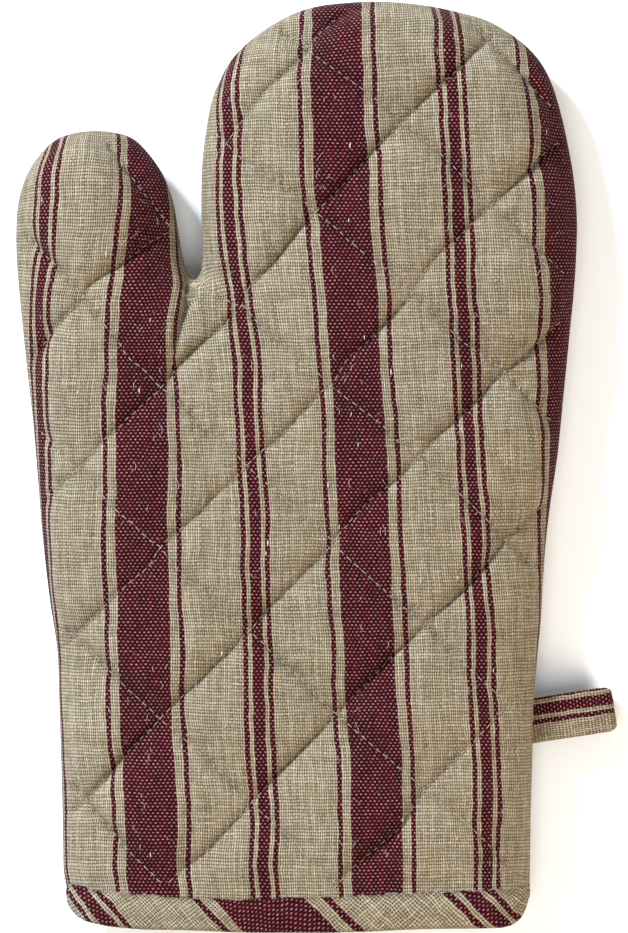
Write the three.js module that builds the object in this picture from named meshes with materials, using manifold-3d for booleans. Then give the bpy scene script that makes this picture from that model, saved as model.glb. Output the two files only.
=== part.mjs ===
// Quilted oven mitt, lying flat on its back panel with the cuff towards -Y and the fingers towards +Y.
// Two quilted panels (outer cloth, wadding, lining) are sewn together round the edge; the cuff is bound with a
// bias strip and a tape loop is caught in the side seam. Millimetres, +Z up, origin at the centre of the footprint.
import * as THREE from 'three';
import { mergeVertices } from 'three/addons/utils/BufferGeometryUtils.js';
import Module from 'manifold-3d';

// ---------------------------------------------------------------- driving dimensions
const SEAM_Z = 12.0;            // height of the side seam above the table
const FRONT_RISE = 17.0;        // front panel above the seam, before the crown
const BACK_DROP = 12.0;         // back panel below the seam: its plateau lies on the table
const ROLL = 26.0;              // plan width over which a panel rolls down to the seam
const CROWN = 4.0;              // extra height in the middle of the hand
const SEAM_GAP = 0.45;          // half the gap between the two panels along the seam
const OUTER_T = 0.8;            // outer cloth
const LINING_T = 0.6;           // lining cloth
const LAYER_GAP = 0.3;          // clearance between layers
const WAD_EDGE = 1.6, WAD_MID = 4.0, WAD_LINE = 1.2;  // wadding at the seam, in a diamond, under a quilting line
const QUILT_DEPTH = 1.5;        // how far a quilting line pulls the cloth in
const CUT_GAP = 0.3;            // half the gap at the two fold lines
const CUFF_Y = -151.4;          // raw edge of the panels at the cuff, inside the binding
const CUFF_RISE = 7.5;          // how much the cuff edge climbs at the side seams
const CUFF_L = -83.2, CUFF_R = 70.2;  // cuff edges in X
const BIND_W = 12.6;            // width of the binding on each face
const BIND_T = 0.8;             // folded binding cloth
const BIND_CLEAR = 0.5;         // clearance between binding and cloth
const BIND_EDGE = 0.95;         // clearance between the fold of the binding and the raw edge
const CUFF_LIFT = 1.15;         // the back panel rises by the thickness of the binding, so that both lie on the table
const THREAD_W = 0.6, THREAD_H = 0.3, THREAD_CLEAR = 0.35;
const THUMB_PIVOT = new THREE.Vector2(-54.8, 75.7), THUMB_DIR = new THREE.Vector2(0.686, 0.727).normalize();
const FINGER_Y = 84.0;          // fold line of the fingers
const CHANNEL_X = -41.5;        // runs up between thumb and fingers
const LOOP_Y = -83.6, LOOP_TILT = 8.5, LOOP_DROOP = 17.0, LOOP_W = 14.6, LOOP_LEN = 26.2, LOOP_T = 1.2, LOOP_BULB = 9.0;
const LOOP_ROOT_X = 71.6;       // hinge line of the loop, just outside the seam
const SHIFT = new THREE.Vector3(0.53, 0.13, 0.0);   // puts the origin at the centre of the footprint

// plan outline of the sewn mitt, from the left of the cuff round the thumb and fingers to the right of the cuff
const OUTLINE = [
  [-83.2, -136.0], [-83.6, -110.0], [-84.6, -78.0], [-85.3, -60.0], [-87.7, -43.9], [-90.0, -24.2], [-91.6, -4.4], [-93.3, 15.3],
  [-95.2, 31.7], [-97.2, 51.5], [-98.5, 66.3], [-98.8, 76.2], [-98.2, 86.0], [-96.2, 93.6], [-92.6, 100.5], [-86.3, 107.1],
  [-80.4, 109.5], [-72.9, 110.4], [-65.6, 109.7], [-60.0, 107.6], [-54.1, 101.5], [-49.8, 94.6], [-47.2, 87.0], [-45.6, 78.5],
  [-44.2, 69.6], [-42.6, 64.0], [-40.1, 61.4], [-38.2, 63.6], [-37.5, 70.0], [-37.7, 78.0], [-37.9, 90.0], [-37.5, 100.8],
  [-36.3, 110.7], [-34.4, 120.6], [-31.4, 127.8], [-27.8, 134.0], [-21.5, 140.3], [-11.7, 146.9], [-2.1, 150.8], [11.0, 152.6],
  [24.2, 152.8], [37.3, 151.4], [47.6, 149.2], [56.3, 146.6], [66.6, 140.3], [73.2, 133.7], [77.1, 126.5], [80.1, 117.3], [82.7, 105.8], [84.7, 94.2],
  [85.7, 81.1], [85.5, 71.2], [84.7, 58.1], [83.4, 44.9], [82.1, 31.7], [80.8, 18.6], [79.3, 3.8], [77.1, -11.0],
  [75.5, -24.2], [74.5, -37.3], [73.8, -50.5], [72.5, -63.7], [71.5, -76.8], [71.0, -96.5], [70.5, -112.0], [70.2, -136.0],
];
// quilting lines of the front panel: the points are their crossings
const FRONT_LINES = [
  [[-78.5, -0.8], [-50.8, 25.2], [-24.8, 54.1], [-0.5, 84.0], [28.1, 113.0], [57.0, 142.3]],
  [[-78.5, -56.4], [-50.8, -26.5], [-22.5, 0.5], [4.8, 27.1], [31.4, 58.0], [58.4, 86.3], [80.4, 106.7]],
  [[-77.5, -108.7], [-50.8, -82.7], [-22.2, -53.8], [5.4, -23.8], [34.0, 3.5], [63.0, 30.7], [83.0, 50.0]],
  [[-50.2, -137.7], [-20.9, -108.7], [6.7, -81.1], [36.0, -51.8], [63.0, -24.5], [80.0, -8.0]],
  [[4.4, -138.6], [36.0, -106.5], [62.5, -77.8], [78.0, -62.0]],
  [[-94.0, 38.0], [-77.1, 54.8], [-46.2, 78.5]],
  [[-24.2, 114.0], [-4.1, 137.7], [10.0, 152.0]],
  [[-94.9, 74.2], [-77.1, 54.8], [-50.8, 25.2], [-22.5, 0.5], [5.4, -23.8], [36.0, -51.8], [62.5, -77.8], [75.0, -90.0]],
  [[-95.0, 14.0], [-78.5, -0.8], [-50.8, -26.5], [-22.2, -53.8], [6.7, -81.1], [36.0, -106.5], [56.1, -123.2], [68.1, -133.4]],
  [[-92.0, -42.0], [-78.5, -56.4], [-50.8, -82.7], [-20.9, -108.7], [4.4, -138.6]],
  [[-77.5, -108.7], [-50.2, -137.7]],
  [[-69.9, 108.0], [-46.2, 78.5]],
  [[-38.0, 66.0], [-24.8, 54.1], [4.8, 27.1], [34.0, 3.5], [63.0, -24.5], [74.0, -34.0]],
  [[-23.5, 100.5], [-0.5, 84.0], [31.4, 58.0], [63.0, 30.7], [79.0, 17.0]],
  [[-4.1, 137.7], [28.1, 113.0], [58.4, 86.3], [83.0, 64.0]],
  [[57.0, 142.3], [71.5, 127.3], [80.4, 106.7]],
];
// quilting lattice of the back panel: a regular 38 mm square grid on the bias
const BACK_PITCH = 54.0, BACK_X0 = -8.0, BACK_Y0 = -112.0;

// ---------------------------------------------------------------- plan geometry
const V2 = (x, y) => new THREE.Vector2(x, y);
const chainCurve = new THREE.CatmullRomCurve3(OUTLINE.map(([x, y]) => new THREE.Vector3(x, y, 0)), false, 'centripetal');
const fine = chainCurve.getPoints(640).map((p) => V2(p.x, p.y));
const fineLong = [V2(fine[0].x, -400), ...fine, V2(fine[fine.length - 1].x, -400)];

function nearest(p) {       // distance to the sewn edge, and the outward direction there
  let best = 1e9, bx = 0, by = 0;
  for (let i = 0; i < fineLong.length - 1; i++) {
    const a = fineLong[i], b = fineLong[i + 1];
    const ex = b.x - a.x, ey = b.y - a.y;
    const t = Math.max(0, Math.min(1, ((p.x - a.x) * ex + (p.y - a.y) * ey) / (ex * ex + ey * ey)));
    const qx = a.x + ex * t, qy = a.y + ey * t, q = (qx - p.x) ** 2 + (qy - p.y) ** 2;
    if (q < best) { best = q; bx = qx; by = qy; }
  }
  const d = Math.sqrt(best);
  return { d, out: d > 1e-6 ? V2((bx - p.x) / d, (by - p.y) / d) : V2(1, 0) };
}
function inside(p, poly) {
  let c = false;
  for (let i = 0, j = poly.length - 1; i < poly.length; j = i++) {
    if ((poly[i].y > p.y) !== (poly[j].y > p.y) &&
      p.x < ((poly[j].x - poly[i].x) * (p.y - poly[i].y)) / (poly[j].y - poly[i].y) + poly[i].x) c = !c;
  }
  return c;
}
const cuffMid = (CUFF_L + CUFF_R) / 2, cuffHalf = (CUFF_R - CUFF_L) / 2;
const cuffRise = (x) => CUFF_RISE * Math.pow(Math.max(0, Math.abs(x - cuffMid) - (cuffHalf - 13)) / 13, 2);
const smooth = (t) => { t = Math.max(0, Math.min(1, t)); return t * t * (3 - 2 * t); };
const crown = (x, y, d) => CROWN * smooth((d - 6) / 50) * smooth((150 - y) / 90);

// a vertex of a panel: plan position, distance from the seam, outward direction, on a quilting line or not
function station(x, y, d, out, line = 0) { return { x, y, d, out, line }; }
function profile(s, rise) {
  const c = Math.max(0, 1 - Math.min(s.d, ROLL) / ROLL), h = Math.sqrt(Math.max(0, 1 - c * c));
  const slope = s.d >= ROLL ? 0 : (rise / ROLL) * (c / Math.max(h, 1e-4));
  const phi = Math.atan(slope);
  return { z: rise * h, nx: s.out.x * Math.sin(phi), ny: s.out.y * Math.sin(phi), nz: Math.cos(phi) };
}
// point of the panel's surface at depth t below the outer face; side is +1 for the front, -1 for the back
function surfacePoint(s, t, side) {
  const p = profile(s, side > 0 ? FRONT_RISE : BACK_DROP);
  const lift = s.d > 0 ? CUFF_LIFT * smooth((-112 - s.y) / 22) : 0;
  const top = Math.max(SEAM_GAP, p.z + (side > 0 ? crown(s.x, s.y, s.d) : -lift) - s.line * QUILT_DEPTH);
  const k = s.d < 1e-6 ? 0 : 1;   // at the seam every layer ends on one plane
  return new THREE.Vector3(s.x - p.nx * t, s.y - p.ny * t, SEAM_Z + side * (top - k * p.nz * t));
}
const wad = (s) => (s.line ? WAD_LINE : WAD_EDGE + (WAD_MID - WAD_EDGE) * Math.min(1, s.d / 12));
const LAYERS = {
  outer: (s) => [0, OUTER_T],
  wadding: (s) => [OUTER_T + LAYER_GAP, OUTER_T + LAYER_GAP + wad(s)],
  lining: (s) => [OUTER_T + 2 * LAYER_GAP + wad(s), OUTER_T + 2 * LAYER_GAP + wad(s) + LINING_T],
};
const thickness = (s) => OUTER_T + 2 * LAYER_GAP + wad(s) + LINING_T;

// ---------------------------------------------------------------- triangulation of a panel
function delaunay(pts) {
  const n = pts.length, P = pts.map((p) => [p.x, p.y]);
  P.push([-3000, -3000], [3000, -3000], [0, 3000]);
  let tris = [[n, n + 1, n + 2]];
  const inCircle = (t, p) => {
    const [a, b, c] = t.map((i) => P[i]);
    const ax = a[0] - p[0], ay = a[1] - p[1], bx = b[0] - p[0], by = b[1] - p[1], cx = c[0] - p[0], cy = c[1] - p[1];
    return (ax * ax + ay * ay) * (bx * cy - cx * by) - (bx * bx + by * by) * (ax * cy - cx * ay) + (cx * cx + cy * cy) * (ax * by - bx * ay) > 0;
  };
  for (let i = 0; i < n; i++) {
    const bad = tris.filter((t) => inCircle(t, P[i]));
    const edges = new Map();
    for (const t of bad) for (let k = 0; k < 3; k++) {
      const a = t[k], b = t[(k + 1) % 3];
      if (edges.has(b + ',' + a)) edges.delete(b + ',' + a); else edges.set(a + ',' + b, [a, b]);
    }
    tris = tris.filter((t) => !bad.includes(t));
    for (const [a, b] of edges.values()) tris.push([a, b, i]);
  }
  return tris.filter((t) => t.every((v) => v < n));
}

const RINGS = [0, 2.6, 8.0];
const STEP = 8.5;
// sample the outline at about STEP, closer round the crotch
function sampleChain() {
  const out = []; let acc = 0, last = fine[0];
  out.push(fine[0]);
  for (let i = 1; i < fine.length; i++) {
    acc += fine[i].distanceTo(last); last = fine[i];
    const nearCrotch = fine[i].distanceTo(V2(-40.1, 61.4));
    const want = nearCrotch < 5 ? 2.2 : nearCrotch < 14 ? 4.5 : STEP;
    if (acc >= want && i < fine.length - 3) { out.push(fine[i]); acc = 0; }
  }
  out.push(fine[fine.length - 1]);
  return out;
}
const base = sampleChain();
const normals = base.map((p, i) => {
  const a = base[Math.max(0, i - 1)], b = base[Math.min(base.length - 1, i + 1)];
  const t = V2(b.x - a.x, b.y - a.y).normalize();
  return V2(-t.y, t.x);          // outward: the chain runs clockwise seen from above
});
normals[0] = V2(-1, 0); normals[normals.length - 1] = V2(1, 0);
const bandTop = CUFF_Y + BIND_W + 2.4;

function panel(lines) {
  const S = [], tris = [];
  const ringIds = RINGS.map((d) => {
    const ids = [];
    const add = (x, y, out) => { ids.push(S.length); S.push(station(x, y, d, out)); };
    add(CUFF_L + d, CUFF_Y + cuffRise(CUFF_L + d), V2(-1, 0));
    base.forEach((p, i) => add(p.x - normals[i].x * d, p.y - normals[i].y * d, normals[i]));
    add(CUFF_R - d, CUFF_Y + cuffRise(CUFF_R - d), V2(1, 0));
    return ids;
  });
  for (let r = 0; r < ringIds.length - 1; r++) for (let i = 0; i < ringIds[r].length - 1; i++) {
    const a = ringIds[r][i], b = ringIds[r][i + 1], c = ringIds[r + 1][i + 1], d = ringIds[r + 1][i];
    tris.push([a, c, b], [a, d, c]);
  }
  const inner = ringIds[ringIds.length - 1];
  // cuff rows
  const rows = [];
  for (const y of [CUFF_Y, bandTop]) {
    const ids = [];
    for (let k = 1; k <= 7; k++) {
      const x = CUFF_L + 8 + ((CUFF_R - CUFF_L - 16) * k) / 8, n = nearest(V2(x, y));
      ids.push(S.length); S.push(station(x, y + (y === CUFF_Y ? cuffRise(x) : 0), Math.min(x - CUFF_L, CUFF_R - x), V2(x < cuffMid ? -1 : 1, 0)));
    }
    rows.push(ids);
  }
  const poly = [...inner, ...rows[0].slice().reverse()];
  const polyPts = poly.map((i) => V2(S[i].x, S[i].y));
  const ids = [...poly, ...rows[1]];
  const key = new Map();
  const addPoint = (x, y, line) => {
    const p = V2(x, y), k = x.toFixed(1) + ',' + y.toFixed(1);
    if (key.has(k)) return key.get(k);
    const n = nearest(p);
    if (!inside(p, polyPts) || n.d < 12.5 || y < bandTop + 6) return -1;
    for (const i of ids) if (Math.hypot(S[i].x - x, S[i].y - y) < 5.5) return -1;
    const id = S.length; S.push(station(x, y, n.d, n.out, line)); ids.push(id); key.set(k, id);
    return id;
  };
  const paths = lines.map((l) => {
    const out = [];
    l.forEach(([x, y], i) => {
      if (i > 0) { const [px, py] = l[i - 1]; out.push(addPoint((x + px) / 2, (y + py) / 2, 1)); }
      out.push(addPoint(x, y, 1));
    });
    return out;
  });
  // four points on the crest of every diamond
  const crossings = [];
  lines.forEach((l) => l.forEach(([x, y]) => { if (!crossings.some((c) => Math.hypot(c[0] - x, c[1] - y) < 8)) crossings.push([x, y]); }));
  const centres = [];
  crossings.forEach(([x, y], i) => crossings.forEach(([u, v], j) => {
    if (j <= i) return;
    const dx = u - x, dy = v - y;
    if (Math.abs(dx) < 14 && Math.abs(dy) > 42 && Math.abs(dy) < 66) centres.push([(x + u) / 2, (y + v) / 2]);
    if (Math.abs(dy) < 14 && Math.abs(dx) > 42 && Math.abs(dx) < 68) centres.push([(x + u) / 2, (y + v) / 2]);
  }));
  const kept = [];
  for (const c of centres) if (!kept.some((k) => Math.hypot(k[0] - c[0], k[1] - c[1]) < 14) && !crossings.some((k) => Math.hypot(k[0] - c[0], k[1] - c[1]) < 14)) kept.push(c);
  for (const [x, y] of kept) for (const [u, v] of [[9, 0], [0, 9], [-9, 0], [0, -9]]) addPoint(x + u, y + v, 0);
  const d = delaunay(ids.map((i) => S[i]));
  for (const t of d) {
    const [a, b, c] = t.map((i) => ids[i]);
    const m = V2((S[a].x + S[b].x + S[c].x) / 3, (S[a].y + S[b].y + S[c].y) / 3);
    if (!inside(m, polyPts)) continue;
    const cross = (S[b].x - S[a].x) * (S[c].y - S[a].y) - (S[b].y - S[a].y) * (S[c].x - S[a].x);
    tris.push(cross > 0 ? [a, b, c] : [a, c, b]);
  }
  const loop = [...ringIds[0], ...ringIds.slice(1).map((r) => r[r.length - 1]), ...rows[0].slice().reverse(), ...ringIds.slice(1).reverse().map((r) => r[0])];
  return { S, tris, loop, paths, kept };
}

// ---------------------------------------------------------------- solids
const wasm = await Module();
wasm.setup();
function toManifold(geometry) {
  const g = geometry.clone();
  for (const k of Object.keys(g.attributes)) if (k !== 'position') g.deleteAttribute(k);
  const m = mergeVertices(g, 1e-4);
  return new wasm.Manifold(new wasm.Mesh({ numProp: 3, vertProperties: new Float32Array(m.attributes.position.array), triVerts: new Uint32Array(m.index.array) }));
}
function fromManifold(m) {
  const mesh = m.getMesh(), n = mesh.numProp, pos = new Float32Array(mesh.numVert * 3);
  for (let i = 0; i < mesh.numVert; i++) for (let k = 0; k < 3; k++) pos[i * 3 + k] = mesh.vertProperties[i * n + k];
  const g = new THREE.BufferGeometry();
  g.setAttribute('position', new THREE.BufferAttribute(pos, 3));
  g.setIndex(new THREE.BufferAttribute(new Uint32Array(mesh.triVerts), 1));
  g.computeVertexNormals();
  return g;
}
function indexed(points, faces) {
  const g = new THREE.BufferGeometry();
  g.setAttribute('position', new THREE.BufferAttribute(new Float32Array(points.flatMap((p) => [p.x, p.y, p.z])), 3));
  g.setIndex(faces.flat());
  return g;
}
function shell(P, layer, side) {
  const N = P.S.length, pts = [], faces = [];
  for (const s of P.S) pts.push(surfacePoint(s, LAYERS[layer](s)[0], side));
  for (const s of P.S) pts.push(surfacePoint(s, LAYERS[layer](s)[1], side));
  const put = (a, b, c) => faces.push(side > 0 ? [a, b, c] : [a, c, b]);
  for (const [a, b, c] of P.tris) { put(a, b, c); put(a + N, c + N, b + N); }
  const L = P.loop;
  for (let i = 0; i < L.length; i++) {
    const a = L[i], b = L[(i + 1) % L.length];   // the loop runs clockwise
    put(a, b, b + N); put(a, b + N, a + N);
  }
  return toManifold(indexed(pts, faces));
}
function prism(points) {
  const shape = new THREE.Shape(points.map((p) => V2(p[0], p[1])));
  const g = new THREE.ExtrudeGeometry(shape, { depth: 200, bevelEnabled: false });
  g.translate(0, 0, -80);
  return toManifold(g);
}
function thumbRegion(e) {        // e moves the fold cut outwards along the thumb
  const n = V2(-THUMB_DIR.y, THUMB_DIR.x), p = V2(THUMB_PIVOT.x + n.x * e, THUMB_PIVOT.y + n.y * e);
  const t = (CHANNEL_X - p.x) / THUMB_DIR.x;
  return prism([[p.x - THUMB_DIR.x * 200, p.y - THUMB_DIR.y * 200], [CHANNEL_X, p.y + THUMB_DIR.y * t], [CHANNEL_X, 300], [-400, 300], [-400, p.y - THUMB_DIR.y * 200]]);
}
const fingerRegion = (e) => prism([[CHANNEL_X, FINGER_Y + e], [200, FINGER_Y + e], [200, 300], [CHANNEL_X, 300]]);
const REGION = {
  palm: (m) => m.subtract(thumbRegion(-CUT_GAP)).subtract(fingerRegion(-CUT_GAP)),
  thumb: (m) => m.intersect(thumbRegion(CUT_GAP)),
  fingers: (m) => m.intersect(fingerRegion(CUT_GAP)),
};
const largest = (m) => m.decompose().sort((a, b) => b.volume() - a.volume())[0];

// ---------------------------------------------------------------- materials
const mat = (color, roughness) => new THREE.MeshStandardMaterial({ color, roughness, metalness: 0 });
const natural = mat(0xb5a68a, 0.9), fleece = mat(0xe9e4d8, 1.0), calico = mat(0xd8cfbc, 0.95), threadCream = mat(0xcfc2a4, 0.8), binding = mat(0xa89a7e, 0.9);

const mitt = new THREE.Group();
function add(name, manifold, material) {
  const mesh = new THREE.Mesh(fromManifold(manifold), material);
  mesh.name = name;
  mitt.add(mesh);
  return mesh;
}

// ---------------------------------------------------------------- panels
function backLines() {
  const lines = [], h = BACK_PITCH / 2;
  const cell = (i, j) => [BACK_X0 + i * h, BACK_Y0 + j * h];
  for (let k = -16; k <= 16; k += 2) {
    for (const s of [1, -1]) {
      const l = [];
      for (let i = -4; i <= 4; i++) { const p = cell(i, s * i + k); if (p[1] > -175 && p[1] < 175) l.push(p); }
      if (l.length > 1) lines.push(l);
    }
  }
  return lines;
}
const PANELS = { front: [panel(FRONT_LINES), 1], back: [panel(backLines()), -1] };
const COLOURS = { outer: natural, wadding: fleece, lining: calico };
for (const [face, [P, side]] of Object.entries(PANELS)) {
  for (const layer of ['outer', 'wadding', 'lining']) {
    const whole = shell(P, layer, side);
    for (const region of ['palm', 'thumb', 'fingers']) add(`${layer}_${face}_${region}`, REGION[region](whole), COLOURS[layer]);
  }
}

// ---------------------------------------------------------------- side seam thread, in the gap between the panels
{
  const pts = [], faces = [], n = base.length;
  const chain = [station(CUFF_L, CUFF_Y + CUFF_RISE + 1, 0, V2(-1, 0)), ...base.map((p, i) => station(p.x, p.y, 0, normals[i])), station(CUFF_R, CUFF_Y + CUFF_RISE + 1, 0, V2(1, 0))];
  for (const s of chain) for (const [d, z] of [[0.35, 0.15], [0.95, 0.15], [0.95, -0.15], [0.35, -0.15]])
    pts.push(new THREE.Vector3(s.x - s.out.x * d, s.y - s.out.y * d, SEAM_Z + z));
  for (let i = 0; i < chain.length - 1; i++) for (let k = 0; k < 4; k++) {
    const a = i * 4 + k, b = i * 4 + ((k + 1) % 4), c = b + 4, d = a + 4;
    faces.push([a, c, b], [a, d, c]);
  }
  const e = (chain.length - 1) * 4;
  faces.push([0, 1, 2], [0, 2, 3], [e, e + 2, e + 1], [e, e + 3, e + 2]);
  let m = toManifold(indexed(pts, faces));
  if (m.volume() < 0) m = toManifold(indexed(pts, faces.map(([a, b, c]) => [a, c, b])));
  for (const region of ['palm', 'thumb', 'fingers']) {
    const part = REGION[region](m).decompose().filter((x) => x.volume() > 0.5).sort((a, b) => b.volume() - a.volume());
    part.forEach((x, i) => add('seam_thread_' + (region === 'palm' ? ['palm_right', 'palm_left', 'palm_crotch'][i] : region), x, threadCream));
  }
}

// ---------------------------------------------------------------- quilting threads, lying along the quilting lines
function ribbon(P, run, side) {
  const q = run.map((i) => surfacePoint(P.S[i], 0, side)), pts = [], faces = [], n = q.length;
  const dir = (a, b) => V2(b.x - a.x, b.y - a.y).normalize();
  q.forEach((p, i) => {
    const u = i > 0 ? dir(q[i - 1], p) : dir(p, q[1]), v = i < n - 1 ? dir(p, q[i + 1]) : u;
    const t = u.clone().add(v).normalize(), w = (THREAD_W / 2) / Math.max(0.8, t.dot(u));
    const e = i === 0 ? -0.25 : i === n - 1 ? 0.25 : 0;
    for (const [k, h] of [[-1, 0], [1, 0], [1, THREAD_H], [-1, THREAD_H]])
      pts.push(new THREE.Vector3(p.x + t.x * e - t.y * w * k, p.y + t.y * e + t.x * w * k, p.z + side * (THREAD_CLEAR + h)));
  });
  for (let i = 0; i < n - 1; i++) for (let k = 0; k < 4; k++) {
    const a = i * 4 + k, b = i * 4 + ((k + 1) % 4), c = b + 4, d = a + 4;
    faces.push([a, c, b], [a, d, c]);
  }
  const e = (n - 1) * 4;
  faces.push([0, 1, 2], [0, 2, 3], [e, e + 2, e + 1], [e, e + 3, e + 2]);
  const m = toManifold(indexed(pts, faces));
  return m.volume() < 0 ? toManifold(indexed(pts, faces.map(([a, b, c]) => [a, c, b]))) : m;
}
for (const [face, [P, side]] of Object.entries(PANELS)) {
  const edges = new Set(P.tris.flatMap(([a, b, c]) => [[a, b], [b, c], [c, a]]).flatMap(([a, b]) => [a + ',' + b, b + ',' + a]));
  let all = null;
  const keep = (run) => { if (run.length > 1) { const m = ribbon(P, run, side); all = all ? all.add(m) : m; } };
  for (const path of P.paths) {
    let run = [];
    for (const id of path) {
      if (id < 0 || (run.length && !edges.has(run[run.length - 1] + ',' + id))) { keep(run); run = []; }
      if (id >= 0) run.push(id);
    }
    keep(run);
  }
  for (const region of ['palm', 'thumb', 'fingers']) {
    const part = largest(REGION[region](all));
    if (part && part.volume() > 3) add(`quilting_thread_${face}_${region}`, part, threadCream);
  }
}

// ---------------------------------------------------------------- cuff binding: a folded strip round the raw edges
{
  const ring = [], P = PANELS.front[0];
  const xs = [0, 2.6, 8.0];
  const front = [];
  for (const d of xs) front.push([CUFF_L + d, d, -1]);
  for (let k = 1; k <= 7; k++) { const x = CUFF_L + 8 + ((CUFF_R - CUFF_L - 16) * k) / 8; front.push([x, Math.min(x - CUFF_L, CUFF_R - x), x < cuffMid ? -1 : 1]); }
  for (const d of xs.slice().reverse()) front.push([CUFF_R - d, d, 1]);
  front.forEach(([x, d, o]) => ring.push({ s: station(x, CUFF_Y, d, V2(o, 0)), side: 1, rim: d === 0 }));
  front.slice(1, -1).reverse().forEach(([x, d, o]) => ring.push({ s: station(x, CUFF_Y, d, V2(o, 0)), side: -1, rim: false }));
  const pts = [], faces = [], K = 10;
  for (const { s, side, rim } of ring) {
    const pr = profile(s, side > 0 ? FRONT_RISE : BACK_DROP), p = surfacePoint(s, 0, side);
    const n = rim ? V2(s.out.x, 0) : V2(pr.nx, side * pr.nz).normalize();
    const z = rim ? SEAM_Z : p.z, T = thickness(s), y0 = CUFF_Y + cuffRise(s.x), y1 = CUFF_Y + BIND_W - 1.0 + cuffRise(s.x) * 0.45;
    // clear of the cloth by BIND_CLEAR, except on the table side, where the strip lies flat
    const oc = side < 0 && !rim ? 0.35 : BIND_CLEAR, o2 = oc + BIND_T, i1 = T + BIND_CLEAR, i2 = i1 + BIND_T, c = 0.8;
    const sec = [[o2, y1], [o2, y0 - BIND_EDGE - BIND_T + c], [o2 - c, y0 - BIND_EDGE - BIND_T], [-i2 + c, y0 - BIND_EDGE - BIND_T], [-i2, y0 - BIND_EDGE - BIND_T + c], [-i2, y1], [-i1, y1], [-i1, y0 - BIND_EDGE], [oc, y0 - BIND_EDGE], [oc, y1]];
    for (const [h, y] of sec) pts.push(new THREE.Vector3(s.x + n.x * h, y, z + n.y * h));
  }
  for (let i = 0; i < ring.length; i++) for (let k = 0; k < K; k++) {
    const j = (i + 1) % ring.length, a = i * K + k, b = i * K + ((k + 1) % K), c = j * K + ((k + 1) % K), d = j * K + k;
    faces.push([a, b, c], [a, c, d]);
  }
  let m = toManifold(indexed(pts, faces));
  if (m.volume() < 0) m = toManifold(indexed(pts, faces.map(([a, b, c]) => [a, c, b])));
  add('cuff_binding', m, binding);
}

// ---------------------------------------------------------------- hanging loop: a tape folded on itself, drooping to the table
{
  const outer = [], hole = [], N = 9, L = LOOP_LEN, half = (u) => LOOP_T + (LOOP_BULB / 2 - LOOP_T) * smooth((u - 2) / (L - 9));
  for (let i = 0; i <= N; i++) { const u = 0.1 + ((L - 4.2) * i) / N; outer.push([u, half(u)]); }
  for (let i = 1; i <= 4; i++) { const a = (Math.PI / 2) * (i / 4); outer.push([L - 4.1 + Math.sin(a) * 4.0, (LOOP_BULB / 2 - 1.0) * Math.cos(a) + 1.0]); }
  const shape = new THREE.Shape([...outer.map(([u, h]) => V2(u, h)), ...outer.slice().reverse().map(([u, h]) => V2(u, -h))]);
  for (let i = 0; i <= 6; i++) { const u = 7 + ((L - 5.4 - 7) * i) / 6; hole.push([u, Math.max(0.35, half(u) - LOOP_T)]); }
  hole.push([L - 1.5, 1.5]);
  shape.holes.push(new THREE.Path([...hole.map(([u, h]) => V2(u, -h)), ...hole.slice().reverse().map(([u, h]) => V2(u, h))]));
  const g = new THREE.ExtrudeGeometry(shape, { depth: LOOP_W, bevelEnabled: false });
  g.translate(0, 0, -LOOP_W / 2);
  g.rotateX(Math.PI / 2);                       // profile in XZ, width along Y
  g.rotateY(THREE.MathUtils.degToRad(LOOP_DROOP));
  g.rotateZ(THREE.MathUtils.degToRad(LOOP_TILT));
  g.translate(LOOP_ROOT_X, LOOP_Y, SEAM_Z);
  let m = toManifold(g);
  m = m.subtract(prism([[0, -200], [LOOP_ROOT_X + 0.4, -200], [LOOP_ROOT_X + 0.4, 200], [0, 200]]));
  add('hanging_loop', m, natural);
}

for (const mesh of mitt.children) mesh.geometry.translate(SHIFT.x, SHIFT.y, SHIFT.z);
export default mitt;
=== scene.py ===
"""Quilted oven mitt in striped homespun cotton, lying flat on its back panel."""
import math

import bpy
import numpy as np
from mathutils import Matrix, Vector, geometry


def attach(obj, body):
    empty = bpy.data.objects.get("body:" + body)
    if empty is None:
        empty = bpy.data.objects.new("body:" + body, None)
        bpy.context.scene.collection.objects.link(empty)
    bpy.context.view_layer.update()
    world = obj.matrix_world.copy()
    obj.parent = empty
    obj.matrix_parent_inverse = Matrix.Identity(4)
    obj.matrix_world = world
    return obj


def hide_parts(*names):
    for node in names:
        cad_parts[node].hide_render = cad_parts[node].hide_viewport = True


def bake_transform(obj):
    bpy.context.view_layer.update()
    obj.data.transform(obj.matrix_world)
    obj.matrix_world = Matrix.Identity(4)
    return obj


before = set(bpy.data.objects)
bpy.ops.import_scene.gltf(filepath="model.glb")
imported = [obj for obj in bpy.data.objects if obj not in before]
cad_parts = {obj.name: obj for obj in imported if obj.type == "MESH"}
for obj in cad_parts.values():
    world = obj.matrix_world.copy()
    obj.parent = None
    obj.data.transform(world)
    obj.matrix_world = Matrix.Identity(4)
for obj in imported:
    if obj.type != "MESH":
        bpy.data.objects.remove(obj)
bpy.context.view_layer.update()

MM = 0.001

# ---------------------------------------------------------------- driving dimensions, in millimetres
SHIFT = (0.53, 0.13)
SEAM_Z = 12.0
RISE, DROP, ROLL, CROWN = 17.0, 12.0, 26.0, 3.6
CUFF_Y, CUFF_RISE = -151.4 + SHIFT[1], 7.5
CUFF_L, CUFF_R = -83.2 + SHIFT[0], 70.2 + SHIFT[0]
END = 0.735          # one warp end
PICK = 1.08          # one weft pick
REPEAT = 73.5        # stripe repeat: a hundred ends
THUMB_PIVOT, THUMB_DIR = np.array([-54.27, 75.83]), np.array([0.68631, 0.72731])
THUMB_NORMAL = np.array([-0.72731, 0.68631])
FINGER_Y = 84.13
CHANNEL_X = -41.0
FOLD = 14.0          # half the plan length over which the cloth turns at a fold

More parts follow.
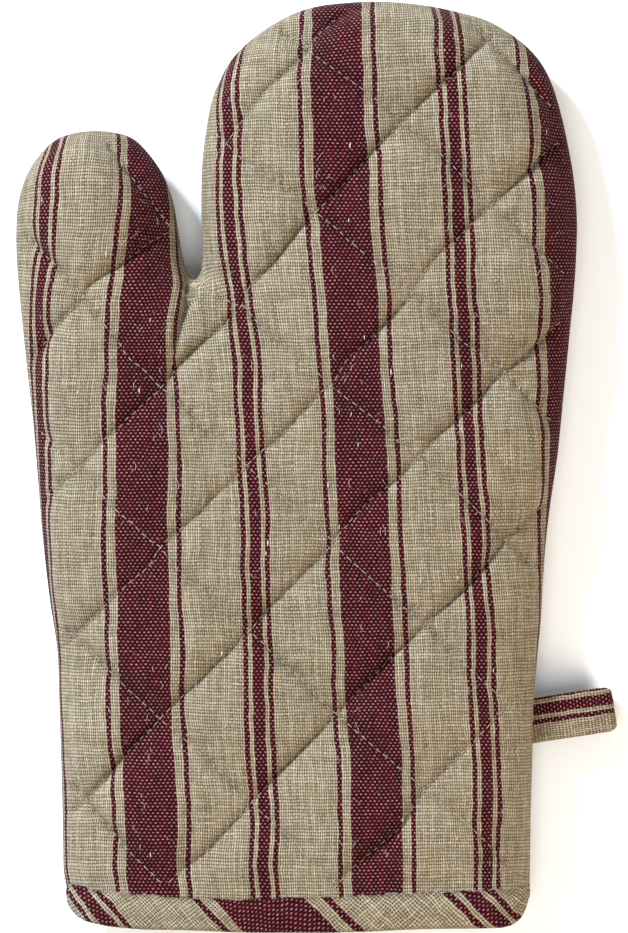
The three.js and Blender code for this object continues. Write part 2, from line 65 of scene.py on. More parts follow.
OUTLINE = np.array([
    (-83.2, -136.0), (-83.6, -110.0), (-84.6, -78.0), (-85.3, -60.0), (-87.7, -43.9), (-90.0, -24.2), (-91.6, -4.4), (-93.3, 15.3),
    (-95.2, 31.7), (-97.2, 51.5), (-98.5, 66.3), (-98.8, 76.2), (-98.2, 86.0), (-96.2, 93.6), (-92.6, 100.5), (-86.3, 107.1),
    (-80.4, 109.5), (-72.9, 110.4), (-65.6, 109.7), (-60.0, 107.6), (-54.1, 101.5), (-49.8, 94.6), (-47.2, 87.0), (-45.6, 78.5),
    (-44.2, 69.6), (-42.6, 64.0), (-40.1, 61.4), (-38.2, 63.6), (-37.5, 70.0), (-37.7, 78.0), (-37.9, 90.0), (-37.5, 100.8),
    (-36.3, 110.7), (-34.4, 120.6), (-31.4, 127.8), (-27.8, 134.0), (-21.5, 140.3), (-11.7, 146.9), (-2.1, 150.8), (11.0, 152.6),
    (24.2, 152.8), (37.3, 151.4), (47.6, 149.2), (56.3, 146.6), (66.6, 140.3), (73.2, 133.7), (77.1, 126.5), (80.1, 117.3), (82.7, 105.8), (84.7, 94.2),
    (85.7, 81.1), (85.5, 71.2), (84.7, 58.1), (83.4, 44.9), (82.1, 31.7), (80.8, 18.6), (79.3, 3.8), (77.1, -11.0),
    (75.5, -24.2), (74.5, -37.3), (73.8, -50.5), (72.5, -63.7), (71.5, -76.8), (71.0, -96.5), (70.5, -112.0), (70.2, -136.0),
]) + SHIFT

FRONT_LINES = [
    [(-24.3, 113.5), (-16.4, 124), (-7.5, 132.2), (-2.9, 137.8), (0.7, 143.4), (9.2, 150.6)],
    [(57.6, 141.7), (53, 137.1), (48.1, 131.5), (42.5, 126.6), (36.2, 120.7), (28.7, 113.1), (21.1, 105.6), (13.5, 97.3), (6, 88.8), (0.4, 83.8), (-4.2, 78.9), (-9.2, 72.3), (-14.1, 66.1), (-19.4, 61.5), (-22.3, 58.5), (-23.6, 54.6), (-29.2, 48), (-34.2, 43.4), (-37.8, 40.1), (-44.4, 33.2), (-50.6, 25.6), (-55.2, 21.3), (-60.8, 16.4), (-64.4, 12.8), (-68.7, 9.2), (-72.3, 5.2), (-76.3, 0.6), (-83.5, -5.3), (-89.4, -11.2)],
    [(-48.6, 76.3), (-54.6, 72.7), (-60.8, 68.1), (-65.8, 64.8), (-70.4, 62.1), (-74, 59.2), (-77.6, 53.6), (-81.5, 50.3), (-86.1, 45.4), (-88.8, 42.7), (-93.4, 36.8)],
    [(81, 106.9), (74, 100.6), (64.5, 91.7), (58.3, 86.1), (51.4, 79.9), (48.7, 76.6), (40.2, 69.4), (34.6, 61.5), (31.3, 55.9), (25.7, 49.6), (21.1, 45), (16.2, 40.1), (10.9, 35.8), (7.9, 30.9), (5.3, 26.6), (1.4, 24), (-2.6, 19.4), (-7.5, 14.1), (-12.8, 8.5), (-18.1, 4.6), (-22.3, 0.3), (-27.6, -5.3), (-32.9, -9.6), (-36.8, -14.2), (-44, -20.4), (-50.6, -26.4), (-54.2, -32.3), (-59.8, -37.2), (-65.4, -42.1), (-69.4, -46.1), (-74.3, -50.7), (-79.6, -55.3), (-83.5, -58.9)],
    [(85.6, 51.6), (77.3, 43.4), (62.9, 31.2), (57.9, 27.3), (54, 22.3), (49, 18.4), (44.8, 14.1), (40.2, 10.2), (36.2, 5.6), (32.6, 1.9), (26.7, -4.3), (22.7, -7.3), (17.1, -11.5), (12.5, -16.8), (6, -24.4), (3.3, -28.3), (-1, -32.3), (-5.6, -36.9), (-10.5, -41.8), (-14.8, -45.8), (-21.3, -53.7), (-24.3, -56.3), (-28.3, -60.9), (-32.9, -64.8), (-37.8, -70.4), (-41.7, -73.4), (-46.7, -78.3), (-50.6, -82.6), (-58.2, -90.2), (-62.5, -94.4), (-68.4, -101.4), (-73.3, -106), (-77.3, -109.6)],
    [(74, -14.2), (63.5, -24), (59.2, -28.7), (47.1, -41.8), (40.5, -47.7), (36.5, -51.4), (31, -56.9), (26, -61.2), (20.1, -67.5), (14.5, -73.1), (6.9, -81), (0.4, -88.2), (-3.9, -92.5), (-9.5, -98.1), (-14.1, -102.7), (-20.7, -109.9), (-24.3, -114.2), (-29.2, -119.1), (-34.2, -124.7), (-39.1, -128.7), (-43.1, -131.3), (-46.7, -134.6), (-51.3, -139.2)],
    [(70.8, -73.4), (60.9, -80.6), (52.3, -89.8), (42.8, -99), (34.6, -107.3), (29.3, -116.5), (22.7, -122.7), (17.5, -127), (12.5, -131.3), (7.6, -136.2)],
    [(52.7, 146.3), (57.6, 141.7), (72.7, 126), (76.4, 121.3), (80.3, 115.1)],
    [(-2.9, 137.8), (6, 130.9), (13.5, 125.3), (19.1, 121.3), (28.7, 113.1), (41.8, 101.9), (49.4, 94.4), (58.3, 86.1), (74, 71.3)],
    [(-32.9, 109.2), (-20.4, 98), (-11.5, 93.1), (-2.9, 86.5), (-0.6, 84.2), (5, 79.9), (10.9, 74.3), (19.1, 67.7), (23.1, 64.8), (31.6, 57.5), (48.7, 40.8), (52, 38.5), (62.5, 31.2), (73.1, 20.4), (78, 15.4)],
    [(-36.5, 60.8), (-32.2, 57.5), (-27.9, 54.2), (-23.6, 52.9), (-19.4, 47.7), (-15.8, 44), (-10.2, 40.4), (-1.3, 32.9), (5.3, 26.6), (10.6, 22.3), (16.2, 18.1), (21.4, 14.1), (26.7, 8.8), (33.9, 3.6), (39.5, -1.4), (44.4, -6), (48.4, -9.6), (53, -13.9), (56.9, -17.8), (63.5, -24), (70.8, -30.6)],
    [(-69.4, 109.5), (-63.8, 102.6), (-59.2, 96), (-54.6, 89.8), (-51.3, 85.5), (-46.3, 77.6)],
    [(-94.4, 74.3), (-89.8, 69.4), (-86.5, 66.7), (-81.5, 61.1), (-76, 55.9), (-72.3, 50.3), (-67.7, 45), (-64.4, 41.1), (-60.8, 35.5), (-56.9, 32.5), (-50.6, 26), (-45.7, 22.3), (-42.7, 20), (-37.1, 13.5), (-33.2, 9.8), (-28.9, 6.9), (-22.3, 0.3), (-15.8, -5.6), (-10.5, -10.2), (-5.6, -14.2), (-2.6, -17.1), (6, -24.4), (9.6, -28.7), (14.5, -33.3), (19.1, -37.2), (22.7, -40.5), (27.7, -44.8), (36.5, -51.4), (44.1, -59.6), (49.4, -64.8), (53.7, -68.8), (57.3, -72.1), (61.5, -76), (66.2, -80.3)],
    [(-92.1, 13.8), (-88.5, 9.2), (-82.5, 3.3), (-78.6, -0.7), (-75.3, -3.3), (-63.8, -15.5), (-58.8, -19.4), (-55.2, -23.1), (-50.6, -26.4), (-47, -31.6), (-41.1, -37.2), (-32.9, -43.8), (-26.3, -50.4), (-21.3, -53.7), (-13.1, -61.9), (-7.5, -66.8), (-2.6, -71.4), (1.4, -76.4), (6.9, -81), (11.5, -84.9), (17.5, -90.2), (23.1, -94.8), (27.7, -98.7), (37.9, -107.3), (52, -118.8), (57.6, -124), (63.9, -130.3), (68.8, -134.2)],
    [(-83.8, -53.3), (-78.9, -56.3), (-71.7, -63.5), (-64.4, -70.4), (-59.2, -75), (-55.2, -78.3), (-50.6, -82.6), (-42.7, -89.2), (-34.5, -96.4), (-25.6, -105.3), (-20.7, -109.9), (-12.8, -117.5), (-6.5, -122.7), (-3.9, -126), (1.4, -131.3), (5, -134.6), (9.9, -139.2)],
    [(-79.6, -106.3), (-76.3, -109.9), (-71.3, -115.2), (-66.4, -120.1), (-61.1, -126), (-56.2, -130.6), (-51.3, -135.6), (-47, -139.8)],
]
STRIPE_TRACKS = [
    (-134.2, -54.08, -17.07, 20.27, 56.29, 84.91),
    (-122.7, -54.08, -16.99, 20.31, 56.41, 85.03),
    (-109.6, -54.28, -17.27, 20.18, 56.53, 85.15),
    (-96.4, -54.82, -17.69, 19.57, 56.04, 84.66),
    (-83.3, -55.68, -18.14, 18.7, 55.01, 83.63),
    (-70.1, -56.25, -18.59, 18.01, 54.31, 82.93),
    (-56.9, -56.5, -19.08, 17.43, 54.03, 82.64),
    (-43.8, -56.75, -19.62, 16.77, 53.53, 82.15),
    (-30.6, -56.91, -19.95, 16.03, 52.71, 81.33),
    (-17.5, -56.99, -20.11, 15.41, 51.93, 80.55),
    (-4.3, -57.04, -20.48, 15.0, 51.23, 79.85),
    (8.8, -56.95, -21.18, 14.47, 50.45, 78.98),
    (22.0, -56.71, -22.0, 13.65, 49.71, 78.16),
    (35.2, -56.01, -22.87, 12.91, 49.05, 77.75),
    (48.3, -54.73, -24.31, 12.17, 48.43, 77.59),
    (61.5, -53.58, -26.36, 11.02, 47.65, 77.09),
    (74.6, -53.01, -28.05, 9.78, 46.79, 76.19),
    (87.8, -52.31, -29.03, 8.84, 46.21, 75.2),
    (101.0, -51.36, -29.69, 8.22, 45.68, 74.3),
    (114.1, -50.95, -30.56, 7.6, 44.9, 73.64),
    (127.3, -50.95, -31.54, 6.7, 44.03, 72.98),
    (140.4, -50.95, -31.95, 6.2, 43.46, 72.24),
    (148.6, -50.95, -31.87, 6.29, 43.13, 71.75),
]

# ---------------------------------------------------------------- small helpers
def smooth(t):
    t = np.clip(t, 0, 1)
    return t * t * (3 - 2 * t)


def spline(points, step):
    """A centripetal curve through the points, sampled about every step."""
    p = np.asarray(points, float)
    p = np.vstack([2 * p[0] - p[1], p, 2 * p[-1] - p[-2]])
    out = []
    for i in range(1, len(p) - 2):
        t = [0.0]
        for k in range(3):
            t.append(t[-1] + max(1e-6, np.linalg.norm(p[i + k] - p[i + k - 1]) ** 0.5))
        n = max(1, int(math.ceil(np.linalg.norm(p[i + 1] - p[i]) / step)))
        for s in np.linspace(t[1], t[2], n, endpoint=False):
            a = [(t[k + 1] - s) / (t[k + 1] - t[k]) * p[i - 1 + k] + (s - t[k]) / (t[k + 1] - t[k]) * p[i + k] for k in range(3)]
            b = [(t[k + 2] - s) / (t[k + 2] - t[k]) * a[k] + (s - t[k]) / (t[k + 2] - t[k]) * a[k + 1] for k in range(2)]
            out.append((t[2] - s) / (t[2] - t[1]) * b[0] + (s - t[1]) / (t[2] - t[1]) * b[1])
    out.append(p[-2])
    return np.array(out)


def resample(path, step):
    path = np.asarray(path, float)
    seg = np.linalg.norm(np.diff(path, axis=0), axis=1)
    s = np.concatenate([[0], np.cumsum(seg)])
    n = max(1, int(round(s[-1] / step)))
    t = np.linspace(0, s[-1], n + 1)
    return np.stack([np.interp(t, s, path[:, k]) for k in range(path.shape[1])], 1)


def nearest(points, path):
    """Distance to an open path, the nearest point on it, and the length along it there."""
    a, b = path[:-1], path[1:]
    e = b - a
    ee = np.maximum((e * e).sum(1), 1e-12)
    along = np.concatenate([[0], np.cumsum(np.sqrt(ee))])[:-1]
    d, q, s = np.empty(len(points)), np.empty((len(points), 2)), np.empty(len(points))
    for i in range(0, len(points), 4000):
        p = points[i : i + 4000]
        t = np.clip(((p[:, None] - a[None]) * e[None]).sum(2) / ee[None], 0, 1)
        c = a[None] + t[..., None] * e[None]
        r = ((c - p[:, None]) ** 2).sum(2)
        k = r.argmin(1)
        j = np.arange(len(p))
        d[i : i + 4000] = np.sqrt(r[j, k])
        q[i : i + 4000] = c[j, k]
        s[i : i + 4000] = along[k] + t[j, k] * np.sqrt(ee[k])
    return d, q, s


def inside(points, poly):
    x, y = points[:, 0], points[:, 1]
    c = np.zeros(len(points), bool)
    a, b = poly, np.roll(poly, -1, axis=0)
    for (ax, ay), (bx, by) in zip(a, b):
        if ay == by:
            continue
        hit = ((ay > y) != (by > y)) & (x < (bx - ax) * (y - ay) / (by - ay) + ax)
        c ^= hit
    return c


def value_noise(x, y, scale, seed):
    """Smooth noise from -1 to 1, with features about scale wide."""
    r = np.random.RandomState(seed).uniform(-1, 1, (256, 256))
    u, v = np.asarray(x) / scale + 100.0, np.asarray(y) / scale + 100.0
    i, j = np.floor(u).astype(int), np.floor(v).astype(int)
    fu, fv = u - i, v - j
    fu, fv = fu**3 * (fu * (6 * fu - 15) + 10), fv**3 * (fv * (6 * fv - 15) + 10)
    g = lambda a, b: r[a % 256, b % 256]
    return (g(i, j) * (1 - fu) + g(i + 1, j) * fu) * (1 - fv) + (g(i, j + 1) * (1 - fu) + g(i + 1, j + 1) * fu) * fv


# ---------------------------------------------------------------- plan of the mitt
CHAIN = spline(np.vstack([[CUFF_L, CUFF_Y], OUTLINE, [CUFF_R, CUFF_Y]]), 1.0)
LONG = np.vstack([[CUFF_L, -400], CHAIN, [CUFF_R, -400]])
LONG_THIN = np.vstack([[CUFF_L, -400], resample(CHAIN, 1.6), [CUFF_R, -400]])
CUFF_MID, CUFF_HALF = (CUFF_L + CUFF_R) / 2, (CUFF_R - CUFF_L) / 2


def cuff_rise(x):
    out = np.array([-84.0, -83.2, -82.8, -82.2, -81.0, -79.4, -77.0, -74.0, -69.5, -64.0, -57.0, -44.5, -36.0, -24.5, 5.0, 19.0, 31.5, 44.5, 54.4, 62.0, 64.9, 66.6, 67.9, 68.8, 69.5, 70.0, 70.4, 72.0])
    up = np.array([12.2, 10.5, 9.0, 7.7, 6.1, 4.6, 3.3, 2.6, 1.9, 1.4, 0.9, 0.8, 0.5, 0.0, 0.0, 0.4, 1.0, 1.2, 1.2, 1.3, 1.9, 2.8, 4.0, 5.3, 6.8, 8.4, 10.0, 11.0])
    return np.interp(x, out, up) + 0.5


def back_lines():
    lines, h, x0, y0 = [], 27.0, -8.0 + SHIFT[0], -112.0 + SHIFT[1]
    for k in range(-16, 17, 2):
        for s in (1, -1):
            l = [(x0 + i * h, y0 + (s * i + k) * h) for i in range(-4, 5)]
            l = [p for p in l if -178 < p[1] < 178]
            if len(l) > 1:
                lines.append(l)
    return lines


def extended(line, far=15.0):
    """The line run on at both ends until it leaves the cloth."""
    p = spline(line, 1.5)
    out = [p]
    for e, f in ((p[0], p[min(6, len(p) - 1)]), (p[-1], p[max(0, len(p) - 7)])):
        d = (e - f) / max(1e-6, np.linalg.norm(e - f))
        more = e + d[None] * np.arange(1.5, far, 1.5)[:, None]
        ok = inside(more, LONG)
        n = len(more) if ok.all() else int(np.argmin(ok))
        more = more[:n]
        out = [more[::-1], *out] if e is p[0] or np.allclose(e, p[0]) else [*out, more]
    return np.vstack(out)


def clipped(path):
    """The stretches of a path that lie on the cloth."""
    ok = inside(path, LONG) & (path[:, 1] > CUFF_Y + 11.5)
    runs, run = [], []
    for p, k in zip(path, ok):
        if k:
            run.append(p)
        elif run:
            runs.append(run); run = []
    if run:
        runs.append(run)
    return [np.array(r) for r in runs if len(r) > 4]


LINES = {
    1: [r for l in FRONT_LINES for r in clipped(extended(l))],
    -1: [r for l in back_lines() for r in clipped(resample(np.array(l, float), 1.5))],
}
CREASE = np.array([(-41.2, 59.8), (-41.4, 54.2), (-43.4, 47.6), (-45.2, 40.0), (-48.0, 30.0)])

# ---------------------------------------------------------------- how far each diamond puffs up
RX0, RY0, RSTEP = -104.0, -156.0, 0.8
RNX, RNY = int(196 / RSTEP), int(314 / RSTEP)
_gx, _gy = np.meshgrid(RX0 + RSTEP * np.arange(RNX), RY0 + RSTEP * np.arange(RNY), indexing="ij")
_cells = np.stack([_gx.ravel(), _gy.ravel()], 1)
_inside = inside(_cells, LONG).reshape(RNX, RNY)


def puff_field(side):
    """Height of cloth held down along the quilting lines and pushed up by wadding in between: 0 on a line, about 1 in a diamond."""
    held = ~_inside
    for r in LINES[side]:
        q = resample(r, 0.5)
        i = np.clip(((q[:, 0] - RX0) / RSTEP).round().astype(int), 0, RNX - 1)
        j = np.clip(((q[:, 1] - RY0) / RSTEP).round().astype(int), 0, RNY - 1)
        held[i, j] = True
        held[np.clip(i + 1, 0, RNX - 1), j] = True
    j0 = int((CUFF_Y + 12.6 - RY0) / RSTEP)
    held[:, j0 : j0 + 2] = True
    phi = np.zeros((RNX, RNY))
    free = (~held).astype(float)
    w = 1.88
    red = ((np.arange(RNX)[:, None] + np.arange(RNY)[None]) % 2 == 0)
    for it in range(150):
        for c in (red, ~red):
            n = np.zeros_like(phi)
            n[1:-1, 1:-1] = (phi[2:, 1:-1] + phi[:-2, 1:-1] + phi[1:-1, 2:] + phi[1:-1, :-2] + RSTEP * RSTEP) / 4
            phi = np.where(c, phi + w * (n - phi), phi) * free
    return 1 - np.exp(-phi / 44.0)


PUFF = {1: puff_field(1), -1: puff_field(-1)}


def sample(field, x, y):
    u, v = np.clip((x - RX0) / RSTEP, 0, RNX - 1.001), np.clip((y - RY0) / RSTEP, 0, RNY - 1.001)
    i, j = np.floor(u).astype(int), np.floor(v).astype(int)
    a, b = u - i, v - j
    return (field[i, j] * (1 - a) + field[i + 1, j] * a) * (1 - b) + (field[i, j + 1] * (1 - a) + field[i + 1, j + 1] * a) * b


def evaluate(xy, side, d=None, out=None, inner=0.0):
    """Points of a panel over plan positions, with the normal, how near each is to a quilting line, and the wadding's
    thickness.
    inner, how far inside the outer face the layer's own edge lies, is not used."""
    x, y = xy[:, 0], xy[:, 1]
    if d is None:
        d, q, _ = nearest(xy, LONG)
        v = q - xy
        out = v / np.maximum(np.linalg.norm(v, axis=1), 1e-9)[:, None]
    flat = xy.copy()
    rise = (RISE if side > 0 else DROP)
    roll = ROLL * (1 + 0.07 * value_noise(x, y, 55, 3 + side))
    c = np.maximum(0, 1 - np.minimum(d, roll) / roll)
    h = np.sqrt(np.maximum(0, 1 - c * c))
    slope = np.where(d >= roll, 0, rise / roll * c / np.maximum(h, 0.02))
    phi = np.arctan(slope)
    nx, ny, nz = out[:, 0] * np.sin(phi), out[:, 1] * np.sin(phi), np.cos(phi)
    z = rise * h
    if side > 0:
        z = z + CROWN * smooth((d - 6) / 50) * smooth((150 - y) / 90)
    edge = smooth(d / 5.0)
    cuff = smooth((y - (CUFF_Y + 11.0)) / 9.0)     # the binding presses the pad flat
    puff = sample(PUFF[side], x, y)
    # the stitches were drawn tighter in some places than in others
    pull = np.clip(0.9 + 0.42 * value_noise(x, y, 34, 61), 0.4, 1.2)
    if side > 0:
        pull = pull * (1 - 0.55 * np.exp(-(((x - 60) / 15) ** 2 + ((y + 100) / 30) ** 2)))
    puff = 1 - (1 - puff) * pull
    near, along, line_id = np.full(len(xy), 99.0), np.zeros(len(xy)), np.zeros(len(xy))
    for k, r in enumerate(LINES[side]):
        lo, hi = r.min(0) - 9, r.max(0) + 9
        pick = np.flatnonzero((x > lo[0]) & (x < hi[0]) & (y > lo[1]) & (y < hi[1]))
        if not len(pick):
            continue
        dd, _, ss = nearest(xy[pick], r[::2] if len(r) > 6 else r)
        better = dd < near[pick]
        sel = pick[better]
        near[sel], along[sel], line_id[sel] = dd[better], ss[better], k
    fold = value_noise(x, y, 27, 11) * 1.0 + value_noise(x + 0.5 * y, y, 12, 12) * 0.55 + value_noise(x, y, 5.5, 13) * 0.26
    pucker = np.sin(along * (2 * math.pi / 5.3) + 2.5 * value_noise(along, line_id * 37.0, 9, 21) + line_id * 1.7)
    pucker = pucker * np.exp(-near / 3.2) * np.minimum(1, near / 0.8) * (0.30 + 0.2 * value_noise(x, y, 16, 22))
    groove = np.exp(-((near / 0.8) ** 2)) * 0.7 * pull
    if side > 0:
        lift = 3.5 * puff - 1.9 + fold * (0.25 + 0.75 * puff) + pucker - groove
        dc, _, sc = nearest(xy, CREASE)
        lift = lift - 2.6 * np.exp(-((dc / 1.5) ** 2)) * (1 - smooth((sc - 12) / 20)) + 0.9 * np.exp(-(((dc - 5) / 3.5) ** 2)) * (1 - smooth((sc - 8) / 20))
        lift = lift * edge * (0.12 + 0.88 * cuff) - 0.4 * (1 - cuff)
        z = np.maximum(z + nz * lift, 0.02)
        flat = flat + np.stack([nx, ny], 1) * lift[:, None]
    else:
        lift = (2.2 * puff - 2.2 + 0.5 * pucker - groove + 0.4 * fold * (1 - puff)) * edge * (0.15 + 0.85 * cuff)
        flat = flat + np.stack([nx, ny], 1) * lift[:, None]
        z = z + nz * lift - 1.35 * smooth((-112 - y) / 22) * smooth(d / 3)
        z = np.minimum(z, SEAM_Z - 0.05)
    thick = 1.5 + 2.9 * puff * smooth(d / 12) * (0.35 + 0.65 * cuff) + 1.2 * (1 - cuff)
    flat[:, 0] -= (flat[:, 0] - 50.0) * 0.0085 * (1 - cuff)
    p = np.stack([flat[:, 0], flat[:, 1], SEAM_Z + side * z], 1)
    p[:, 2] = np.maximum(p[:, 2], 0.0)
    n = np.stack([nx, ny, side * nz], 1)
    return {"p": p, "n": n, "near": near, "thick": thick, "d": d, "out": out, "puff": puff, "pull": pull}


# ---------------------------------------------------------------- cloth coordinates
_tracks = np.array(STRIPE_TRACKS)
_arc_d = np.linspace(0, ROLL, 400)


def _arc(rise):
    z = rise * np.sqrt(np.maximum(0, 1 - (1 - _arc_d / ROLL) ** 2))
    s = np.concatenate([[0], np.cumsum(np.hypot(np.diff(_arc_d), np.diff(z)))])
    return (s[-1] - s) - (ROLL - _arc_d)


ARC = {1: _arc(RISE), -1: _arc(DROP)}


def cloth_uv(xy, side, d, out):
    """Where a point lies on the uncut cloth: across the stripes and along them, in millimetres."""
    x, y = xy[:, 0], xy[:, 1]
    extra = np.interp(np.minimum(d, ROLL), _arc_d, ARC[side])
    v = y + extra * out[:, 1] + 0.9 * value_noise(x, y, 60, 31)
    if side < 0:
        u = (x + 0.055 * y) + extra * out[:, 0] + 0.7 * value_noise(x, y, 50, 32) + 14.0
        return np.stack([u, v], 1)
    a = [np.interp(y, _tracks[:, 0], _tracks[:, k]) for k in range(1, 6)]
    left, low, mid, high, far = a
    pinch = np.exp(-(((y - 48) / 17) ** 2))            # the cloth dips into the fold below the crotch
    left = left - 1.45 * pinch
    reach = 1 + np.where(x > left, 0.19, 0.06) * pinch
    us = (-73.5, -36.75, 0.0, 36.75, 65.05)
    u = np.where(x < left, us[0] + (x - left), 0)
    lin = us[0] + (x - left) / (low - left) * 36.75
    crease_x = np.interp(y, CREASE[::-1, 1], CREASE[::-1, 0])
    crease_x = np.where(y > 60, CHANNEL_X, crease_x)
    torn = np.where(x < crease_x, us[0] + (x - left) * reach, us[1] + (x - low))
    w = smooth((y - 18) / 28)
    u = np.where((x >= left) & (x < low), lin * (1 - w) + torn * w, u)
    u = np.where((x >= low) & (x < mid), us[1] + (x - low) / (mid - low) * 36.75, u)
    u = np.where((x >= mid) & (x < high), (x - mid) / (high - mid) * 36.75, u)
    u = np.where((x >= high) & (x < far), us[3] + (x - high) / (far - high) * (us[4] - us[3]), u)
    u = np.where(x >= far, us[4] + (x - far), u)
    u = u + extra * out[:, 0] + 0.45 * value_noise(x, y, 19, 33) + 0.25 * value_noise(x, y, 8, 34)
    return np.stack([u, v], 1)


# ---------------------------------------------------------------- triangulated plan of a panel
def plan_mesh(step, inset=0.0):
    """Rings that follow the edge, then a square grid. Returns plan points, distances, outward directions and faces."""
    nt = max(5, int(round(math.asin(min(1, (1 - (1 - (5.5 - inset * 0.3) / ROLL) ** 2) ** 0.5)) * RISE * 1.5 / step)))
    top = math.acos(1 - 6.0 / ROLL)
    start = math.acos(1 - inset / ROLL) if inset else 0.0
    top = max(top, start + 0.3)
    rings = [ROLL * (1 - math.cos(start + (top - start) * k / nt)) for k in range(nt + 1)]
    chain = resample(CHAIN, step)
    t = np.gradient(resample(CHAIN, step), axis=0)
    t /= np.linalg.norm(t, axis=1)[:, None]
    nrm = np.stack([-t[:, 1], t[:, 0]], 1)
    nrm[0], nrm[-1] = (-1, 0), (1, 0)
    for _ in range(2):
        nrm[1:-1] = (nrm[:-2] + 2 * nrm[1:-1] + nrm[2:]) / 4
        nrm /= np.linalg.norm(nrm, axis=1)[:, None]
    pts, dist, outs, faces = [], [], [], []
    n = len(chain)
    for r in rings:
        pts.append(chain - nrm * r); dist.append(np.full(n, r)); outs.append(nrm)
    for k in range(len(rings) - 1):
        for i in range(n - 1):
            a, b = k * n + i, k * n + i + 1
            faces.append((a, a + n, b + n, b))
    last = rings[-1]
    base = n * len(rings)
    xs = np.arange(-100.0, 90.0, step)
    ys = np.arange(CUFF_Y, 156.0, step)
    gx, gy = np.meshgrid(xs, ys, indexing="ij")
    cells = np.stack([gx.ravel(), gy.ravel()], 1)
    ok = np.zeros(len(cells), bool)
    cand = np.flatnonzero(inside(cells, LONG_THIN))
    dd, qq, _ = nearest(cells[cand], LONG_THIN)
    ok[cand] = dd > last + 0.45 * step
    dfull = np.zeros(len(cells)); dfull[cand] = dd
    ofull = np.zeros((len(cells), 2)); ofull[cand] = (qq - cells[cand]) / np.maximum(dd, 1e-9)[:, None]
    ids = -np.ones(len(cells), int)
    ids[ok] = base + np.arange(ok.sum())
    ids = ids.reshape(gx.shape)
    pts.append(cells[ok]); dist.append(dfull[ok]); outs.append(ofull[ok])
    full = (ids[:-1, :-1] >= 0) & (ids[1:, :-1] >= 0) & (ids[:-1, 1:] >= 0) & (ids[1:, 1:] >= 0)
    for i, j in zip(*np.nonzero(full)):
        faces.append((ids[i, j], ids[i + 1, j], ids[i + 1, j + 1], ids[i, j + 1]))
    # the band between the last ring and the grid
    P = np.vstack(pts)
    D = np.concatenate(dist)
    band = [base - n + i for i in range(n)]
    grid = [base + k for k in range(ok.sum()) if D[base + k] < last + 3.2 * step]
    every = band + grid
    where = {v: k for k, v in enumerate(every)}
    edges = [(k, k + 1) for k in range(n - 1)]
    count = {}
    for i, j in zip(*np.nonzero(full)):
        q = (ids[i, j], ids[i + 1, j], ids[i + 1, j + 1], ids[i, j + 1])
        for k in range(4):
            e = (min(q[k], q[(k + 1) % 4]), max(q[k], q[(k + 1) % 4]))
            count[e] = count.get(e, 0) + 1
    edges += [(where[a], where[b]) for (a, b), c in count.items() if c == 1 and a in where and b in where]
    res = geometry.delaunay_2d_cdt([Vector(P[v]) for v in every], edges, [], 0, 1e-5)
    poly = P[band]
    tris = np.array(res[2])
    vert = np.array([tuple(v) for v in res[0]])
    origin = [o[0] if o else -1 for o in res[3]]
    cen = vert[tris].mean(1)
    good = inside(cen, poly)
    fi, fj = np.floor((cen[:, 0] - xs[0]) / step).astype(int), np.floor((cen[:, 1] - ys[0]) / step).astype(int)
    fi, fj = np.clip(fi, 0, full.shape[0] - 1), np.clip(fj, 0, full.shape[1] - 1)
    good &= ~full[fi, fj]
    for tri in tris[good]:
        a, b, c = (every[origin[k]] for k in tri)
        ab, ac = P[b] - P[a], P[c] - P[a]
        s = ab[0] * ac[1] - ab[1] * ac[0]
        if abs(s) < 1e-9:
            continue
        faces.append((a, b, c) if s > 0 else (a, c, b))
    O = np.vstack(outs)
    # the rings' quads run the other way round on the outside of the chain
    fixed = []
    for f in faces:
        q = P[list(f)]
        s = 0.0
        for k in range(len(f)):
            a, b = q[k], q[(k + 1) % len(f)]
            s += a[0] * b[1] - a[1] * b[0]
        fixed.append(tuple(int(v) for v in (f if s > 0 else f[::-1])))
    # the cuff's corners rise
    P = P.copy()
    P[:, 1] += cuff_rise(P[:, 0]) * smooth((-129 - P[:, 1]) / 22)
    return P, D, O, fixed


def region_of(cen):
    e = (cen - THUMB_PIVOT) @ THUMB_NORMAL
    r = np.zeros(len(cen), int)
    r[(e > -FOLD - 1.5) & (cen[:, 0] < CHANNEL_X) & (cen[:, 1] > 10)] = 1
    r[(cen[:, 1] > FINGER_Y - FOLD - 1.5) & (cen[:, 0] >= CHANNEL_X)] = 2
    return r


REGIONS = ("palm", "thumb", "fingers")


def settle(obj, region):
    """A piece of the palm rides on the palm's body; a piece of the thumb or fingers only has its transform baked into
    its mesh.
    """
    if region == 0:
        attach(obj, "palm")
    elif region == 1:
        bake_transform(obj)
    else:
        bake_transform(obj)


def vertex_normals(P, faces):
    n = np.zeros_like(P)
    for size in (3, 4):
        f = np.array([q for q in faces if len(q) == size])
        if not len(f):
            continue
        c = np.cross(P[f[:, 1]] - P[f[:, 0]], P[f[:, 2]] - P[f[:, 0]]) if size == 3 else np.cross(P[f[:, 2]] - P[f[:, 0]], P[f[:, 3]] - P[f[:, 1]])
        for k in range(size):
            np.add.at(n, f[:, k], c)
    return n / np.maximum(np.linalg.norm(n, axis=1), 1e-12)[:, None]


